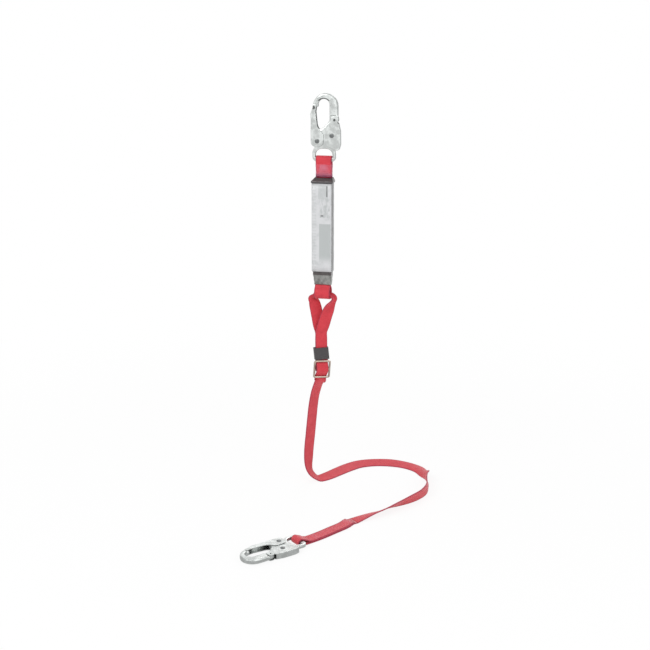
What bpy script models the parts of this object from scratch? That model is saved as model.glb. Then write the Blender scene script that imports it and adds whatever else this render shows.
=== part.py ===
"""Adjustable shock-absorbing lanyard: two double-locking snap hooks, a tear-webbing pack and a strap.

The hanging line is the Z axis. The origin is where the upper hook's crown bears on its anchor.
X runs to the upper hook's spine side and Y runs from the label side of the pack to its back.
"""

import math

import bpy
import bmesh
from mathutils import Matrix, Vector

CLEAR = 0.0003
SLACK = 0.0005

# Snap hook, in its own plane: bowl opening, frame bars and plate
BOWL_R = 0.0110
CROWN_R = 0.0250
CROWN_BAR = 0.0113
SPINE_W = 0.0175
BAR_THICK = 0.0120
PLATE_THICK = 0.0080
BOWL_DEPTH = 0.0600
NOSE_DROP = 0.0154
TONGUE = 0.0062
NECK_Z = -0.0320
PLATE_EDGE = 0.0026

# Eye of the snap hook
EYE_DROP = 0.1180
EYE_BAR = 0.0090
EYE_SIDE = 0.0065
EYE_WINDOW_W = 0.0340
EYE_WINDOW_H = 0.0165
EYE_ARCH_R = 0.0125

# Gate and lock lever: folded sheet on rivets
SHEET = 0.0017
GATE_X = -0.0131
GATE_DROP = 0.0217
LOCK_X = 0.0162
LOCK_DROP = 0.0104
BOSS_R = 0.0130
CHEEK_GAP = 0.0040
RIVET_R = 0.0030
RIVET_HEAD_R = 0.0046
RIVET_HEAD_H = 0.0010
SPRING_WIRE_R = 0.0004
SPRING_R = 0.0046
SPRING_TURNS = 2
SPRING_PITCH = 0.0012
EAR_HOLE_R = 0.0015

# Webbing
WEB_THICK = 0.0024
STRAP_W = 0.0254
PACK_WEB_W = 0.0320
LAYER_GAP = 0.0006

# Energy-absorber pack
PACK_TOP = -0.1530
PACK_X = -0.0025
PACK_W = 0.0418
PACK_DEPTH = 0.0240
COLLAR_H = 0.0105
COVER_H = 0.1800
COVER_WALL = 0.0010
COLLAR_WALL = 0.0014
BOOT_H = 0.0280
CORNER_R = 0.0050
TEAR_FOLDS = 6
TEAR_END_GAP = 0.0110
LABEL_THICK = 0.0004
LABEL_EDGE = 0.0012

# Lower loop of the pack and the strap through it
LOOP_DROP = 0.0165
LOOP_IN_R = 0.0110

# Keeper and adjuster, both turned a little from the label side
KEEPER_DROP = 0.1195
KEEPER_H = 0.0252
KEEPER_WALL = 0.0016
KEEPER_LEAN = 0.0026
KEEPER_SHIFT = 0.0012
KEEPER_SLACK = 0.0007
KEEPER_GAP = 0.0014
ADJUSTER_X = -0.0050
ADJUSTER_H = 0.0380
ADJUSTER_SLACK = 0.0014
ADJUSTER_YAW = 30.0
ADJUSTER_TILT = 4.0
ROD_R = 0.0021
EXIT_DROP = 0.0038

# Lower end, lying on the ground
GROUND_Z = -0.8020
LOWER_SEAT = (-0.0622, -0.3957)
LOWER_YAW = 48.0
EYE_SHIFT = 0.0030
EYE_LEAD = 0.0200
EYE_LAP = 0.0340
EYE_STEP = 0.0100
EYE_ONWARD = 0.0120

UP = Vector((0, 0, 1))


def clear_scene():
    for obj in list(bpy.data.objects):
        bpy.data.objects.remove(obj, do_unlink=True)


def new_collection(name):
    group = bpy.data.collections.new(name)
    bpy.context.scene.collection.children.link(group)
    return group


def material(name, colour, roughness, metallic=0.0):
    made = bpy.data.materials.new(name)
    made.use_nodes = True
    shader = made.node_tree.nodes["Principled BSDF"]
    shader.inputs["Base Color"].default_value = (*colour, 1)
    shader.inputs["Roughness"].default_value = roughness
    shader.inputs["Metallic"].default_value = metallic
    return made


clear_scene()
PARTS = new_collection("shock_absorbing_lanyard")
CUTTERS = new_collection("cutters")
STEEL = material("zinc_steel", (0.62, 0.64, 0.62), 0.32, 1.0)
SPRING_STEEL = material("spring_steel", (0.45, 0.45, 0.46), 0.35, 1.0)
NICKEL = material("nickel_wire", (0.68, 0.62, 0.52), 0.3, 1.0)
RED_WEBBING = material("red_webbing", (0.65, 0.02, 0.03), 0.8)
DARK_BINDING = material("dark_binding", (0.04, 0.045, 0.045), 0.6)
CLEAR_VINYL = material("grey_vinyl", (0.30, 0.32, 0.31), 0.35)
LABEL_FACE = material("label_face", (0.52, 0.56, 0.54), 0.45)
BLACK_PLASTIC = material("black_plastic", (0.03, 0.03, 0.032), 0.5)


def add(name, mesh, skin, matrix=None, group=None):
    obj = bpy.data.objects.new(name, mesh)
    (group or PARTS).objects.link(obj)
    if skin:
        mesh.materials.clear()
        mesh.materials.append(skin)
    if matrix is not None:
        obj.matrix_world = matrix
    return obj


def baked(obj, *helpers):
    """The evaluated mesh of an object in world space, welded; the object and its helpers are removed."""
    bpy.context.view_layer.update()
    graph = bpy.context.evaluated_depsgraph_get()
    mesh = bpy.data.meshes.new_from_object(obj.evaluated_get(graph))
    mesh.transform(obj.matrix_world)
    work = bmesh.new()
    work.from_mesh(mesh)
    bmesh.ops.remove_doubles(work, verts=work.verts, dist=1e-6)
    bmesh.ops.recalc_face_normals(work, faces=work.faces)
    work.to_mesh(mesh)
    work.free()
    for spent in (obj, *helpers):
        bpy.data.objects.remove(spent, do_unlink=True)
    return mesh


def cut(obj, cutter, operation="DIFFERENCE"):
    cutter.hide_render = True
    cutter.display_type = "WIRE"
    change = obj.modifiers.new(operation.lower(), "BOOLEAN")
    change.operation = operation
    change.object = cutter
    change.solver = "EXACT"


def smooth_shade(mesh, angle=40):
    mesh.shade_smooth()
    mesh.set_sharp_from_angle(angle=math.radians(angle))


def rounded(corners, step=18):
    """A closed outline from corners (x, z, fillet radius), its arcs in steps of about step degrees."""
    outline = []
    for i, (x, z, radius) in enumerate(corners):
        here = Vector((x, z))
        before = (Vector(corners[i - 1][:2]) - here).normalized()
        after = (Vector(corners[(i + 1) % len(corners)][:2]) - here).normalized()
        opening = before.angle(after)
        if radius == 0 or opening > math.pi - 0.02:
            outline.append((x, z))
            continue
        bisector = (before + after).normalized()
        centre = here + bisector * (radius / math.sin(opening / 2))
        first = here + before * (radius / math.tan(opening / 2)) - centre
        turn = first.angle_signed(here + after * (radius / math.tan(opening / 2)) - centre)
        count = max(2, round(abs(math.degrees(turn)) / step))
        for k in range(count + 1):
            spoke = Matrix.Rotation(-turn * k / count, 2) @ first
            outline.append(tuple(centre + spoke))
    return outline


def plate(name, outlines, thickness, edge=0.0, y=0.0, resolution=1):
    """A flat plate in the XZ plane with rounded edges; outlines after the first are its holes."""
    curve = bpy.data.curves.new(name, "CURVE")
    curve.dimensions = "2D"
    curve.fill_mode = "BOTH"
    curve.extrude = thickness / 2 - edge
    curve.bevel_depth = edge
    curve.bevel_resolution = resolution
    curve.offset = -edge
    for outline in outlines:
        spline = curve.splines.new("POLY")
        spline.points.add(len(outline) - 1)
        spline.use_cyclic_u = True
        for point, (x, z) in zip(spline.points, outline):
            point.co = (x, z, 0, 1)
    obj = bpy.data.objects.new(name, curve)
    CUTTERS.objects.link(obj)
    obj.matrix_world = Matrix.Translation((0, y, 0)) @ Matrix.Rotation(math.pi / 2, 4, "X")
    return add(name, baked(obj), None, group=CUTTERS)


def block(name, low, high):
    work = bmesh.new()
    bmesh.ops.create_cube(work, size=1)
    for vert in work.verts:
        vert.co = [(a + b) / 2 + c * (b - a) for a, b, c in zip(low, high, vert.co)]
    mesh = bpy.data.meshes.new(name)
    work.to_mesh(mesh)
    work.free()
    return add(name, mesh, None, group=CUTTERS)


def pin(name, x, z, radius, low_y, high_y, sides=20):
    """A cylinder along Y."""
    work = bmesh.new()
    bmesh.ops.create_cone(
        work, cap_ends=True, segments=sides, radius1=radius, radius2=radius, depth=high_y - low_y
    )
    place = Matrix.Translation((x, (low_y + high_y) / 2, z)) @ Matrix.Rotation(math.pi / 2, 4, "X")
    bmesh.ops.transform(work, matrix=place, verts=work.verts)
    mesh = bpy.data.meshes.new(name)
    work.to_mesh(mesh)
    work.free()
    return add(name, mesh, None, group=CUTTERS)


def lofted(name, rings):
    """A closed solid through rings of equal point counts, with flat end caps."""
    work = bmesh.new()
    made = [[work.verts.new(point) for point in ring] for ring in rings]
    for ring, following in zip(made, made[1:]):
        for i in range(len(ring)):
            j = (i + 1) % len(ring)
            work.faces.new((ring[i], ring[j], following[j], following[i]))
    work.faces.new(made[0])
    work.faces.new(made[-1])
    bmesh.ops.recalc_face_normals(work, faces=work.faces)
    mesh = bpy.data.meshes.new(name)
    work.to_mesh(mesh)
    work.free()
    return mesh


def turned(name, profile, steps=18):
    """Points (radius, height) down the outer side, turned round the Y axis."""
    mesh = bpy.data.meshes.new(name)
    edges = [(i, i + 1) for i in range(len(profile) - 1)]
    mesh.from_pydata([(radius, 0, height) for radius, height in profile], edges, [])
    obj = add(name, mesh, None, group=CUTTERS)
    screw = obj.modifiers.new("turn", "SCREW")
    screw.steps = screw.render_steps = steps
    screw.use_merge_vertices = True
    screw.merge_threshold = 0.00001
    obj.matrix_world = Matrix.Rotation(math.pi / 2, 4, "X")
    return baked(obj)


def wire(name, points, radius):
    curve = bpy.data.curves.new(name, "CURVE")
    curve.dimensions = "3D"
    curve.bevel_depth = radius
    curve.bevel_resolution = 1
    curve.use_fill_caps = True
    spline = curve.splines.new("POLY")
    spline.points.add(len(points) - 1)
    for point, place in zip(spline.points, points):
        point.co = (*place, 1)
    obj = bpy.data.objects.new(name, curve)
    CUTTERS.objects.link(obj)
    return baked(obj)


def chords_of(points):
    return [(b - a).length for a, b in zip(points, points[1:])]


def eased(values, chords, per):
    """Values along a smooth curve through the given ones, per steps to each chord of the path."""
    slopes = [(b - a) / chord for a, b, chord in zip(values, values[1:], chords)]
    tangents = [slopes[0]]
    for i in range(1, len(values) - 1):
        before, after = chords[i - 1], chords[i]
        tangents.append((slopes[i - 1] * after + slopes[i] * before) / (before + after))
    tangents.append(slopes[-1])
    made = []
    for i, chord in enumerate(chords):
        for k in range(per):
            t = k / per
            start = values[i] * ((1 + 2 * t) * (1 - t) ** 2) + tangents[i] * (chord * t * (1 - t) ** 2)
            end = values[i + 1] * (t * t * (3 - 2 * t)) + tangents[i + 1] * (chord * t * t * (t - 1))
            made.append(start + end)
    return [*made, values[-1]]


def ribbon(name, path, across, width, skin, thickness=WEB_THICK, cups=None, columns=2):
    """Webbing along path: across holds the width's direction at each point and cups how far it curls."""
    curled = cups is not None
    cups = cups or [0.0] * len(path)
    work = bmesh.new()
    rows = []
    for i, (point, side, cup) in enumerate(zip(path, across, cups)):
        ahead = path[min(i + 1, len(path) - 1)] - path[max(i - 1, 0)]
        ahead.normalize()
        side = (side - ahead * side.dot(ahead)).normalized()
        normal = side.cross(ahead)
        row = []
        for k in range(columns + 1):
            u = 2 * k / columns - 1
            if abs(cup) > 0.02:
                radius = width / cup
                turn = u * cup / 2
                shift = side * (radius * math.sin(turn)) + normal * (radius * (1 - math.cos(turn)))
            else:
                shift = side * (u * width / 2)
            row.append(work.verts.new(point + shift))
        rows.append(row)
    for row, following in zip(rows, rows[1:]):
        for k in range(columns):
            work.faces.new((row[k], row[k + 1], following[k + 1], following[k]))
    mesh = bpy.data.meshes.new(name)
    work.to_mesh(mesh)
    work.free()
    obj = add(name, mesh, None, group=CUTTERS)
    shell = obj.modifiers.new("thickness", "SOLIDIFY")
    shell.thickness = thickness
    shell.offset = 0
    shell.use_even_offset = not curled
    made = baked(obj)
    smooth_shade(made)
    return add(name, made, skin)


def arc(centre, radius, start, end, count):
    """Points (a, b) on an arc, angles in degrees."""
    turns = [math.radians(start + (end - start) * k / count) for k in range(count + 1)]
    return [(centre[0] + radius * math.cos(t), centre[1] + radius * math.sin(t)) for t in turns]


# Places in the hook that follow from its sizes
SPINE_OUT = BOWL_R + SPINE_W
CROWN_X = SPINE_OUT - CROWN_R
CROWN_Z = CROWN_BAR - CROWN_R
NOSE_OUT = CROWN_X - CROWN_R
GATE_Z = -BOWL_DEPTH - GATE_DROP
LOCK_Z = -BOWL_DEPTH - LOCK_DROP
CHEEK_IN = PLATE_THICK / 2 + CLEAR
CHEEK_OUT = CHEEK_IN + SHEET
EYE_OUT = EYE_WINDOW_W / 2 + EYE_SIDE
EYE_END = -EYE_DROP - EYE_BAR / 2
WINDOW_TOP = -EYE_DROP + EYE_BAR / 2 + EYE_WINDOW_H
SHOULDER_Z = -NOSE_DROP + TONGUE
BODY_LEFT = GATE_X - 0.0065
BODY_RIGHT = LOCK_X + 0.0090
# Cut back so that the pressed lever's web swings past the body's lower corner
TAIL_ROOM = 0.0028
CHEEK_RIGHT = GATE_X + BOSS_R
LEVER_LEFT = CHEEK_RIGHT + CHEEK_GAP
WEB_LEFT = GATE_X - BOSS_R - 0.0002
WEB_RIGHT = LOCK_X + BOSS_R + 0.0040
POCKET = SPRING_PITCH * SPRING_TURNS + 2 * SPRING_WIRE_R + CLEAR


def bar_ring(inner, outer, thickness, sides=12):
    """A rounded bar section between an inner and an outer point (x, z)."""
    inner = Vector((inner[0], 0, inner[1]))
    outer = Vector((outer[0], 0, outer[1]))
    middle = (inner + outer) / 2
    half = (outer - inner) / 2
    ring = []
    for k in range(sides):
        t = 2 * math.pi * (k + 0.5) / sides
        a = math.copysign(abs(math.cos(t)) ** 0.7, math.cos(t))
        b = math.copysign(abs(math.sin(t)) ** 0.7, math.sin(t))
        ring.append(middle + half * a + Vector((0, thickness / 2 * b, 0)))
    return ring


def hook_bar():
    """Nose, crown and spine as one forged bar that flattens at the neck, where the plate takes over."""
    tip = 0.0012
    rings = [
        bar_ring((-BOWL_R - tip, -NOSE_DROP), (NOSE_OUT + tip, -NOSE_DROP), PLATE_THICK - 2 * tip),
        bar_ring((-BOWL_R, -NOSE_DROP + tip), (NOSE_OUT, -NOSE_DROP + tip), PLATE_THICK),
        bar_ring((-BOWL_R, SHOULDER_Z), (NOSE_OUT, SHOULDER_Z), PLATE_THICK),
        bar_ring((-BOWL_R, SHOULDER_Z + CLEAR), (NOSE_OUT, SHOULDER_Z + CLEAR), BAR_THICK),
    ]
    steps = 12
    outer = arc((CROWN_X, CROWN_Z), CROWN_R, 160, 0, steps)
    inner = arc((0, -BOWL_R), BOWL_R, 160, 0, steps)
    rings += [bar_ring(a, b, BAR_THICK) for a, b in zip(inner, outer)]
    inset = 0.0012
    for z in (CROWN_Z - 0.006, NECK_Z + 0.0015):
        rings.append(bar_ring((BOWL_R, z), (SPINE_OUT, z), BAR_THICK))
    for z in (NECK_Z, -BOWL_DEPTH + 0.012):
        rings.append(bar_ring((BOWL_R + inset, z), (SPINE_OUT - 4 * inset, z), PLATE_THICK - inset))
    return add("hook_bar", lofted("hook_bar", rings), None, group=CUTTERS)


def plate_outline():
    """Body and eye of the frame, clockwise from the top of the neck."""
    neck = 0.0020
    top = NECK_Z + 0.005
    hip = 0.0065
    return rounded(
        [
            (SPINE_OUT - neck, top, 0.0035),
            (SPINE_OUT, NECK_Z - 0.001, 0.004),
            (SPINE_OUT, NECK_Z - 0.008, 0.010),
            (SPINE_OUT - 0.0045, LOCK_Z + 0.0185, 0.010),
            (BODY_RIGHT, LOCK_Z + 0.003, 0.010),
            (BODY_RIGHT, WINDOW_TOP + 0.0035, 0.010),
            (BODY_RIGHT - TAIL_ROOM, WINDOW_TOP - 0.003, 0.006),
            (EYE_OUT, WINDOW_TOP - hip - 0.004, 0.006),
            (EYE_OUT, EYE_END, 0.009),
            (-EYE_OUT, EYE_END, 0.009),
            (-EYE_OUT, WINDOW_TOP - hip, 0.004),
            (BODY_LEFT, WINDOW_TOP + 0.002, 0.004),
            (BODY_LEFT, GATE_Z, 0.008),
            (GATE_X + 0.0005, -BOWL_DEPTH + 0.0025, 0.0032),
            (-BOWL_R * 0.45, -BOWL_DEPTH + 0.0010, 0.0040),
            (BOWL_R, -BOWL_DEPTH + 0.0175, 0.008),
            (BOWL_R, NECK_Z - 0.001, 0.004),
            (BOWL_R + neck, top, 0.0035),
        ]
    )


def window_outline():
    half = EYE_WINDOW_W / 2
    low = WINDOW_TOP - EYE_WINDOW_H
    low_r = 0.0011
    return rounded(
        [
            (-half, WINDOW_TOP, EYE_ARCH_R),
            (half, WINDOW_TOP, EYE_ARCH_R),
            (half, low, low_r),
            (-half, low, low_r),
        ]
    )


def frame_mesh():
    """The forged frame: bar and plate joined, drilled for the rivets and pocketed for the springs."""
    frame = plate("frame", [plate_outline(), window_outline()], PLATE_THICK, PLATE_EDGE)
    helpers = [hook_bar()]
    cut(frame, helpers[0], "UNION")
    hole = RIVET_R + CLEAR
    front = -PLATE_THICK / 2
    floor = front + POCKET
    reach = BOSS_R + 0.01
    for x, z, side, low, high in (
        (GATE_X, GATE_Z, -1, -0.0062, 0.0095),
        (LOCK_X, LOCK_Z, 1, -0.0095, 0.0062),
    ):
        ends = sorted((x, x + side * reach))
        drill = pin("drill", x, z, hole, -BAR_THICK, BAR_THICK)
        recess = pin("recess", x, z, SPRING_R + 0.0016, front - 0.002, floor, 24)
        channel = block("channel", (ends[0], front - 0.002, z + low), (ends[1], floor, z + high))
        for cutter in (drill, recess, channel):
            cut(frame, cutter)
            helpers.append(cutter)
    mesh = baked(frame, *helpers)
    smooth_shade(mesh)
    return mesh


def folded(name, cheek, slot, holes):
    """A sheet channel: the cheek's outline across the full width, less the slot between the cheeks."""
    body = plate(name, [cheek], 2 * CHEEK_OUT, 0.0008)
    helpers = [plate(name + "_slot", [slot], 2 * CHEEK_IN)]
    helpers += [pin(name + "_hole", x, z, r, -BAR_THICK, BAR_THICK, 18) for x, z, r in holes]
    for cutter in helpers:
        cut(body, cutter)
    mesh = baked(body, *helpers)
    smooth_shade(mesh)
    return mesh


def gate_mesh():
    """The gate: two cheeks beside the nose's tongue and a web on the outer side, with a thumb bump."""
    top = SHOULDER_Z - 0.0010
    mouth = -NOSE_DROP - 0.0020
    bump_z = mouth - 0.0110
    low = GATE_Z - BOSS_R + 0.0018
    web = [
        (WEB_LEFT + 0.0042, mouth, 0.0),
        (WEB_LEFT - 0.0008, bump_z, 0.006),
        (WEB_LEFT + 0.0006, bump_z - 0.011, 0.012),
        (WEB_LEFT, GATE_Z + 0.012, 0.020),
    ]
    cheek = rounded(
        [
            (NOSE_OUT, top, 0.0015),
            *web,
            (WEB_LEFT + 0.0006, low, 0.009),
            (CHEEK_RIGHT, low, 0.0110),
            (CHEEK_RIGHT, GATE_Z + BOSS_R, 0.0110),
            (GATE_X - 0.0002, -BOWL_DEPTH + 0.0060, 0.014),
            (-BOWL_R - 0.0055, bump_z + 0.003, 0.010),
            (-BOWL_R - 0.0032, top, 0.0015),
        ]
    )
    out = WEB_LEFT - 0.02
    tail = low + 0.0040
    slot = rounded(
        [
            (out, top + 0.01, 0),
            (out, mouth, 0),
            *[(x + SHEET, z, r) for x, z, r in web],
            (WEB_LEFT + SHEET + 0.0004, tail, 0),
            (out, tail, 0),
            (out, low - 0.01, 0),
            (SPINE_OUT, low - 0.01, 0),
            (SPINE_OUT, top + 0.01, 0),
        ]
    )
    return folded("gate", cheek, slot, [(GATE_X, GATE_Z, RIVET_R + CLEAR)])


def lever_mesh():
    """The lock lever: cheeks with a pierced ear beside the spine, a notch, and a web behind the body."""
    ear_top = NECK_Z - 0.0010
    ear_left = BOWL_R + 0.0040
    notch_z = ear_top - 0.0115
    low = LOCK_Z - 0.0318
    slope = 0.0072
    web = [
        (SPINE_OUT + 0.0010, notch_z - 0.0030, 0.001),
        (WEB_RIGHT - 0.0004, LOCK_Z + 0.008, 0.012),
        (WEB_RIGHT, LOCK_Z - 0.018, 0.012),
        (WEB_RIGHT - 0.0040, low, 0.005),
    ]
    cheek = rounded(
        [
            (ear_left, ear_top, 0.005),
            (SPINE_OUT + 0.0004, ear_top, 0.005),
            (SPINE_OUT + 0.0004, notch_z + 0.002, 0.001),
            (SPINE_OUT - 0.0020, notch_z, 0.0004),
            *web,
            (LOCK_X, low + slope, 0.012),
            (LEVER_LEFT, low + slope + 0.0035, 0.0075),
            (LEVER_LEFT, LOCK_Z + BOSS_R * 0.75, 0.007),
            (BOWL_R + 0.0014, -BOWL_DEPTH + 0.0165, 0.008),
        ]
    )
    out = WEB_RIGHT + 0.02
    tail = low + 0.0046
    slot = rounded(
        [
            (out, ear_top + 0.01, 0),
            (out, web[0][1], 0),
            *[(x - SHEET, z, r) for x, z, r in web[:3]],
            (WEB_RIGHT - SHEET - 0.0030, tail, 0),
            (out, tail, 0),
            (out, low - 0.01, 0),
            (GATE_X, low - 0.01, 0),
            (GATE_X, ear_top + 0.01, 0),
        ]
    )
    ear = (SPINE_OUT - 0.0061, ear_top - 0.0064, EAR_HOLE_R)
    return folded("lever", cheek, slot, [(LOCK_X, LOCK_Z, RIVET_R + CLEAR), ear])


def rivet_mesh():
    """A rivet with a low domed head at each end, clear of the cheeks."""
    inner = CHEEK_OUT + CLEAR
    dome = [(0.0, inner + RIVET_HEAD_H), (RIVET_HEAD_R * 0.6, inner + RIVET_HEAD_H * 0.85)]
    head = [*dome, (RIVET_HEAD_R, inner + RIVET_HEAD_H * 0.2), (RIVET_HEAD_R, inner)]
    half = [*head, (RIVET_R, inner)]
    return turned("rivet", half + [(r, -h) for r, h in reversed(half)])


def spring_mesh(side, end_angle):
    """A torsion spring round its rivet: a coil in the frame's pocket and a leg out to the web."""
    per_turn = 10
    deepest = -PLATE_THICK / 2 + POCKET - CLEAR - SPRING_WIRE_R
    points = []
    for k in range(SPRING_TURNS * per_turn + 1):
        t = math.radians(end_angle) + 2 * math.pi * k / per_turn
        y = deepest - SPRING_PITCH * k / per_turn
        points.append((SPRING_R * math.cos(t), y, SPRING_R * math.sin(t)))
    end = points[-1]
    web_reach = (BOSS_R if side < 0 else WEB_RIGHT - LOCK_X) - SHEET - 0.0010
    points.append((side * web_reach * 0.6, end[1], end[2]))
    points.append((side * web_reach, end[1], end[2]))
    return wire("spring", points, SPRING_WIRE_R)


def hook(prefix, place):
    """One snap hook: frame and rivets, and the gate and the lever with their origins on their rivets."""
    add(prefix + "_hook_frame", HOOK_MESHES["frame"], STEEL, place)
    for which, x, z in (("gate", GATE_X, GATE_Z), ("lock", LOCK_X, LOCK_Z)):
        pivot = place @ Matrix.Translation((x, 0, z))
        add(f"{prefix}_{which}_rivet", HOOK_MESHES["rivet"], STEEL, pivot)
        mover = "gate" if which == "gate" else "lock_lever"
        add(f"{prefix}_{mover}", HOOK_MESHES[mover], STEEL, pivot)
        add(f"{prefix}_{which}_spring", HOOK_MESHES[which + "_spring"], SPRING_STEEL, pivot)


def pivoted(mesh, x, z):
    mesh.transform(Matrix.Translation((-x, 0, -z)))
    return mesh


HOOK_MESHES = {
    "frame": frame_mesh(),
    "gate": pivoted(gate_mesh(), GATE_X, GATE_Z),
    "lock_lever": pivoted(lever_mesh(), LOCK_X, LOCK_Z),
    "rivet": rivet_mesh(),
    "gate_spring": spring_mesh(-1, 90),
    "lock_spring": spring_mesh(1, -90),
}

# Webbing round an eye bar, and where the lower hook lies
EYE_HUG = PLATE_EDGE + math.hypot(EYE_BAR / 2 - PLATE_EDGE, PLATE_THICK / 2 - PLATE_EDGE)
EYE_LOOP_R = EYE_HUG + CLEAR + WEB_THICK / 2
LYING_HEIGHT = EYE_LOOP_R + WEB_THICK / 2 + CLEAR
LAYER_Y = (WEB_THICK + LAYER_GAP) / 2
YAW = math.radians(LOWER_YAW)
OUTWARD = Vector((math.cos(YAW), math.sin(YAW), 0))
SIDEWAYS = Vector((math.sin(YAW), -math.cos(YAW), 0))

hook("upper", Matrix())
LOWER_PLACE = Matrix.Translation((*LOWER_SEAT, GROUND_Z + LYING_HEIGHT)) @ Matrix(
    [
        (SIDEWAYS.x, 0, -OUTWARD.x, 0),
        (SIDEWAYS.y, 0, -OUTWARD.y, 0),
        (0, 1, 0, 0),
        (0, 0, 0, 1),
    ]
)
hook("lower", LOWER_PLACE)


def teardrop(radius, throat, count):
    """Two layers joined by a loop: (across, along) points from the loop's centre, along > 0 outward."""
    lean = math.degrees(math.asin((radius - LAYER_Y) / throat))
    loop = arc((0, 0), radius, 180 + lean, -lean, count)
    return [(-LAYER_Y, -throat), *loop, (LAYER_Y, -throat)]


def pack_webbing(name, x, centre_z, radius, throat, tail, way):
    """A loop of the pack's own webbing: way is 1 for a loop at the top of its legs, -1 for one below."""
    drop = teardrop(radius, throat, 14)
    points = [(-LAYER_Y, -throat - tail), *drop, (LAYER_Y, -throat - tail)]
    path = [Vector((x, y, centre_z + way * along)) for y, along in points]
    return ribbon(name, path, [Vector((1, 0, 0))] * len(path), PACK_WEB_W, RED_WEBBING, columns=1)


def section(width, depth):
    half_w = width / 2
    half_d = depth / 2
    radius = min(CORNER_R, half_d * 0.5)
    corners = ((-half_w, -half_d), (half_w, -half_d), (half_w, half_d), (-half_w, half_d))
    return rounded([(x, y, radius) for x, y in corners], 30)


def sleeve(name, stations, wall, skin, matrix=None):
    """An open tube of rounded rectangular sections (z, width, depth, x), its wall inward."""
    work = bmesh.new()
    rings = []
    for z, width, depth, *shift in stations:
        x = shift[0] if shift else 0.0
        rings.append([work.verts.new((x + a, b, z)) for a, b in section(width, depth)])
    for ring, following in zip(rings, rings[1:]):
        for i in range(len(ring)):
            j = (i + 1) % len(ring)
            work.faces.new((ring[i], ring[j], following[j], following[i]))
    bmesh.ops.recalc_face_normals(work, faces=work.faces)
    mesh = bpy.data.meshes.new(name)
    work.to_mesh(mesh)
    work.free()
    if matrix is not None:
        mesh.transform(matrix)
    obj = add(name, mesh, None, group=CUTTERS)
    shell = obj.modifiers.new("wall", "SOLIDIFY")
    shell.thickness = wall
    shell.offset = -1
    shell.use_even_offset = True
    made = baked(obj)
    smooth_shade(made)
    return add(name, made, skin)


# Levels in the pack
COVER_TOP = PACK_TOP - COLLAR_H
COVER_END = COVER_TOP - COVER_H
BOOT_END = PACK_TOP - COLLAR_H - COVER_H - BOOT_H
COLLAR_W = PACK_W + 2 * (COLLAR_WALL + CLEAR)
COLLAR_D = PACK_DEPTH + 2 * (COLLAR_WALL + CLEAR)
NECK_W = PACK_WEB_W + 2 * (COLLAR_WALL + SLACK + CLEAR)
NECK_D = 2 * (LAYER_Y + WEB_THICK / 2 + COLLAR_WALL + SLACK)
INNER_W = PACK_W - 2 * (COVER_WALL + CLEAR)
INNER_D = PACK_DEPTH - 2 * (COVER_WALL + CLEAR)
LOOP_Z = BOOT_END - LOOP_DROP


def build_pack():
    rim = 0.0030
    sleeve(
        "pack_collar",
        [
            (PACK_TOP, NECK_W, NECK_D + 0.004),
            (COVER_TOP + rim, COLLAR_W, COLLAR_D, PACK_X),
            (COVER_TOP, COLLAR_W, COLLAR_D, PACK_X),
        ],
        COLLAR_WALL,
        DARK_BINDING,
    )
    draw_in = 0.0020
    sleeve(
        "pack_cover",
        [
            (COVER_TOP + rim - CLEAR, PACK_W - draw_in, PACK_DEPTH - draw_in, PACK_X),
            (COVER_TOP - CLEAR, PACK_W, PACK_DEPTH, PACK_X),
            (COVER_END + rim, PACK_W, PACK_DEPTH, PACK_X),
            (COVER_END, PACK_W - draw_in / 4, PACK_DEPTH - draw_in / 4, PACK_X),
        ],
        COVER_WALL,
        CLEAR_VINYL,
    )
    tuck = 0.0060
    lip = 0.0040
    sleeve(
        "pack_boot",
        [
            (COVER_END + tuck, INNER_W - draw_in / 4, INNER_D - draw_in / 4, PACK_X),
            (COVER_END - lip, INNER_W - draw_in / 4, INNER_D - draw_in / 4, PACK_X),
            (BOOT_END, NECK_W, NECK_D, PACK_X),
        ],
        COLLAR_WALL,
        DARK_BINDING,
    )
    stub_throat = -EYE_DROP - PACK_TOP - 0.006
    stub_tail = 0.0180
    pack_webbing("shackle_webbing", 0, -EYE_DROP, EYE_LOOP_R, stub_throat, stub_tail, 1)
    loop_r = LOOP_IN_R + WEB_THICK / 2
    loop_throat = LOOP_DROP - 0.0015
    loop_tail = 0.0245
    pack_webbing("pack_lower_loop", PACK_X, LOOP_Z, loop_r, loop_throat, loop_tail, -1)
    tear_webbing(PACK_TOP - 0.006 - stub_tail - 0.003)
    label()


def tear_webbing(top):
    """The energy absorber: tear webbing folded to and fro inside the cover."""
    pitch = WEB_THICK + 2 * CLEAR + 0.0001
    bottom = COVER_END + TEAR_END_GAP
    points = []
    for k in range(TEAR_FOLDS):
        y = (k - (TEAR_FOLDS - 1) / 2) * pitch
        ends = (top - pitch / 2, bottom + pitch / 2)
        start, end = ends if k % 2 == 0 else ends[::-1]
        points += [(y, start), (y, end)]
        if k < TEAR_FOLDS - 1:
            way = -1 if k % 2 == 0 else 1
            turn = arc((y + pitch / 2, end), pitch / 2, 180, 0, 4)[1:-1]
            points += [(a, end + way * (b - end)) for a, b in turn]
    path = [Vector((PACK_X, y, z)) for y, z in points]
    across = [Vector((1, 0, 0))] * len(path)
    ribbon("tear_webbing", path, across, PACK_WEB_W, RED_WEBBING, columns=1)


def label():
    """The label sheet on the front of the cover, as far as the bends of its corners."""
    off = CLEAR + LABEL_THICK / 2
    half_w = PACK_W / 2 + off
    half_d = PACK_DEPTH / 2 + off
    radius = CORNER_R + off
    left = arc((-half_w + radius, -half_d + radius), radius, 195, 270, 3)
    right = arc((half_w - radius, -half_d + radius), radius, 270, 315, 2)
    top = COVER_TOP - LABEL_EDGE
    bottom = COVER_END + LABEL_EDGE
    path = [Vector((PACK_X + x, y, (top + bottom) / 2)) for x, y in [*left, *right]]
    ribbon("label_sheet", path, [UP] * len(path), top - bottom, LABEL_FACE, LABEL_THICK, columns=1)


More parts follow.
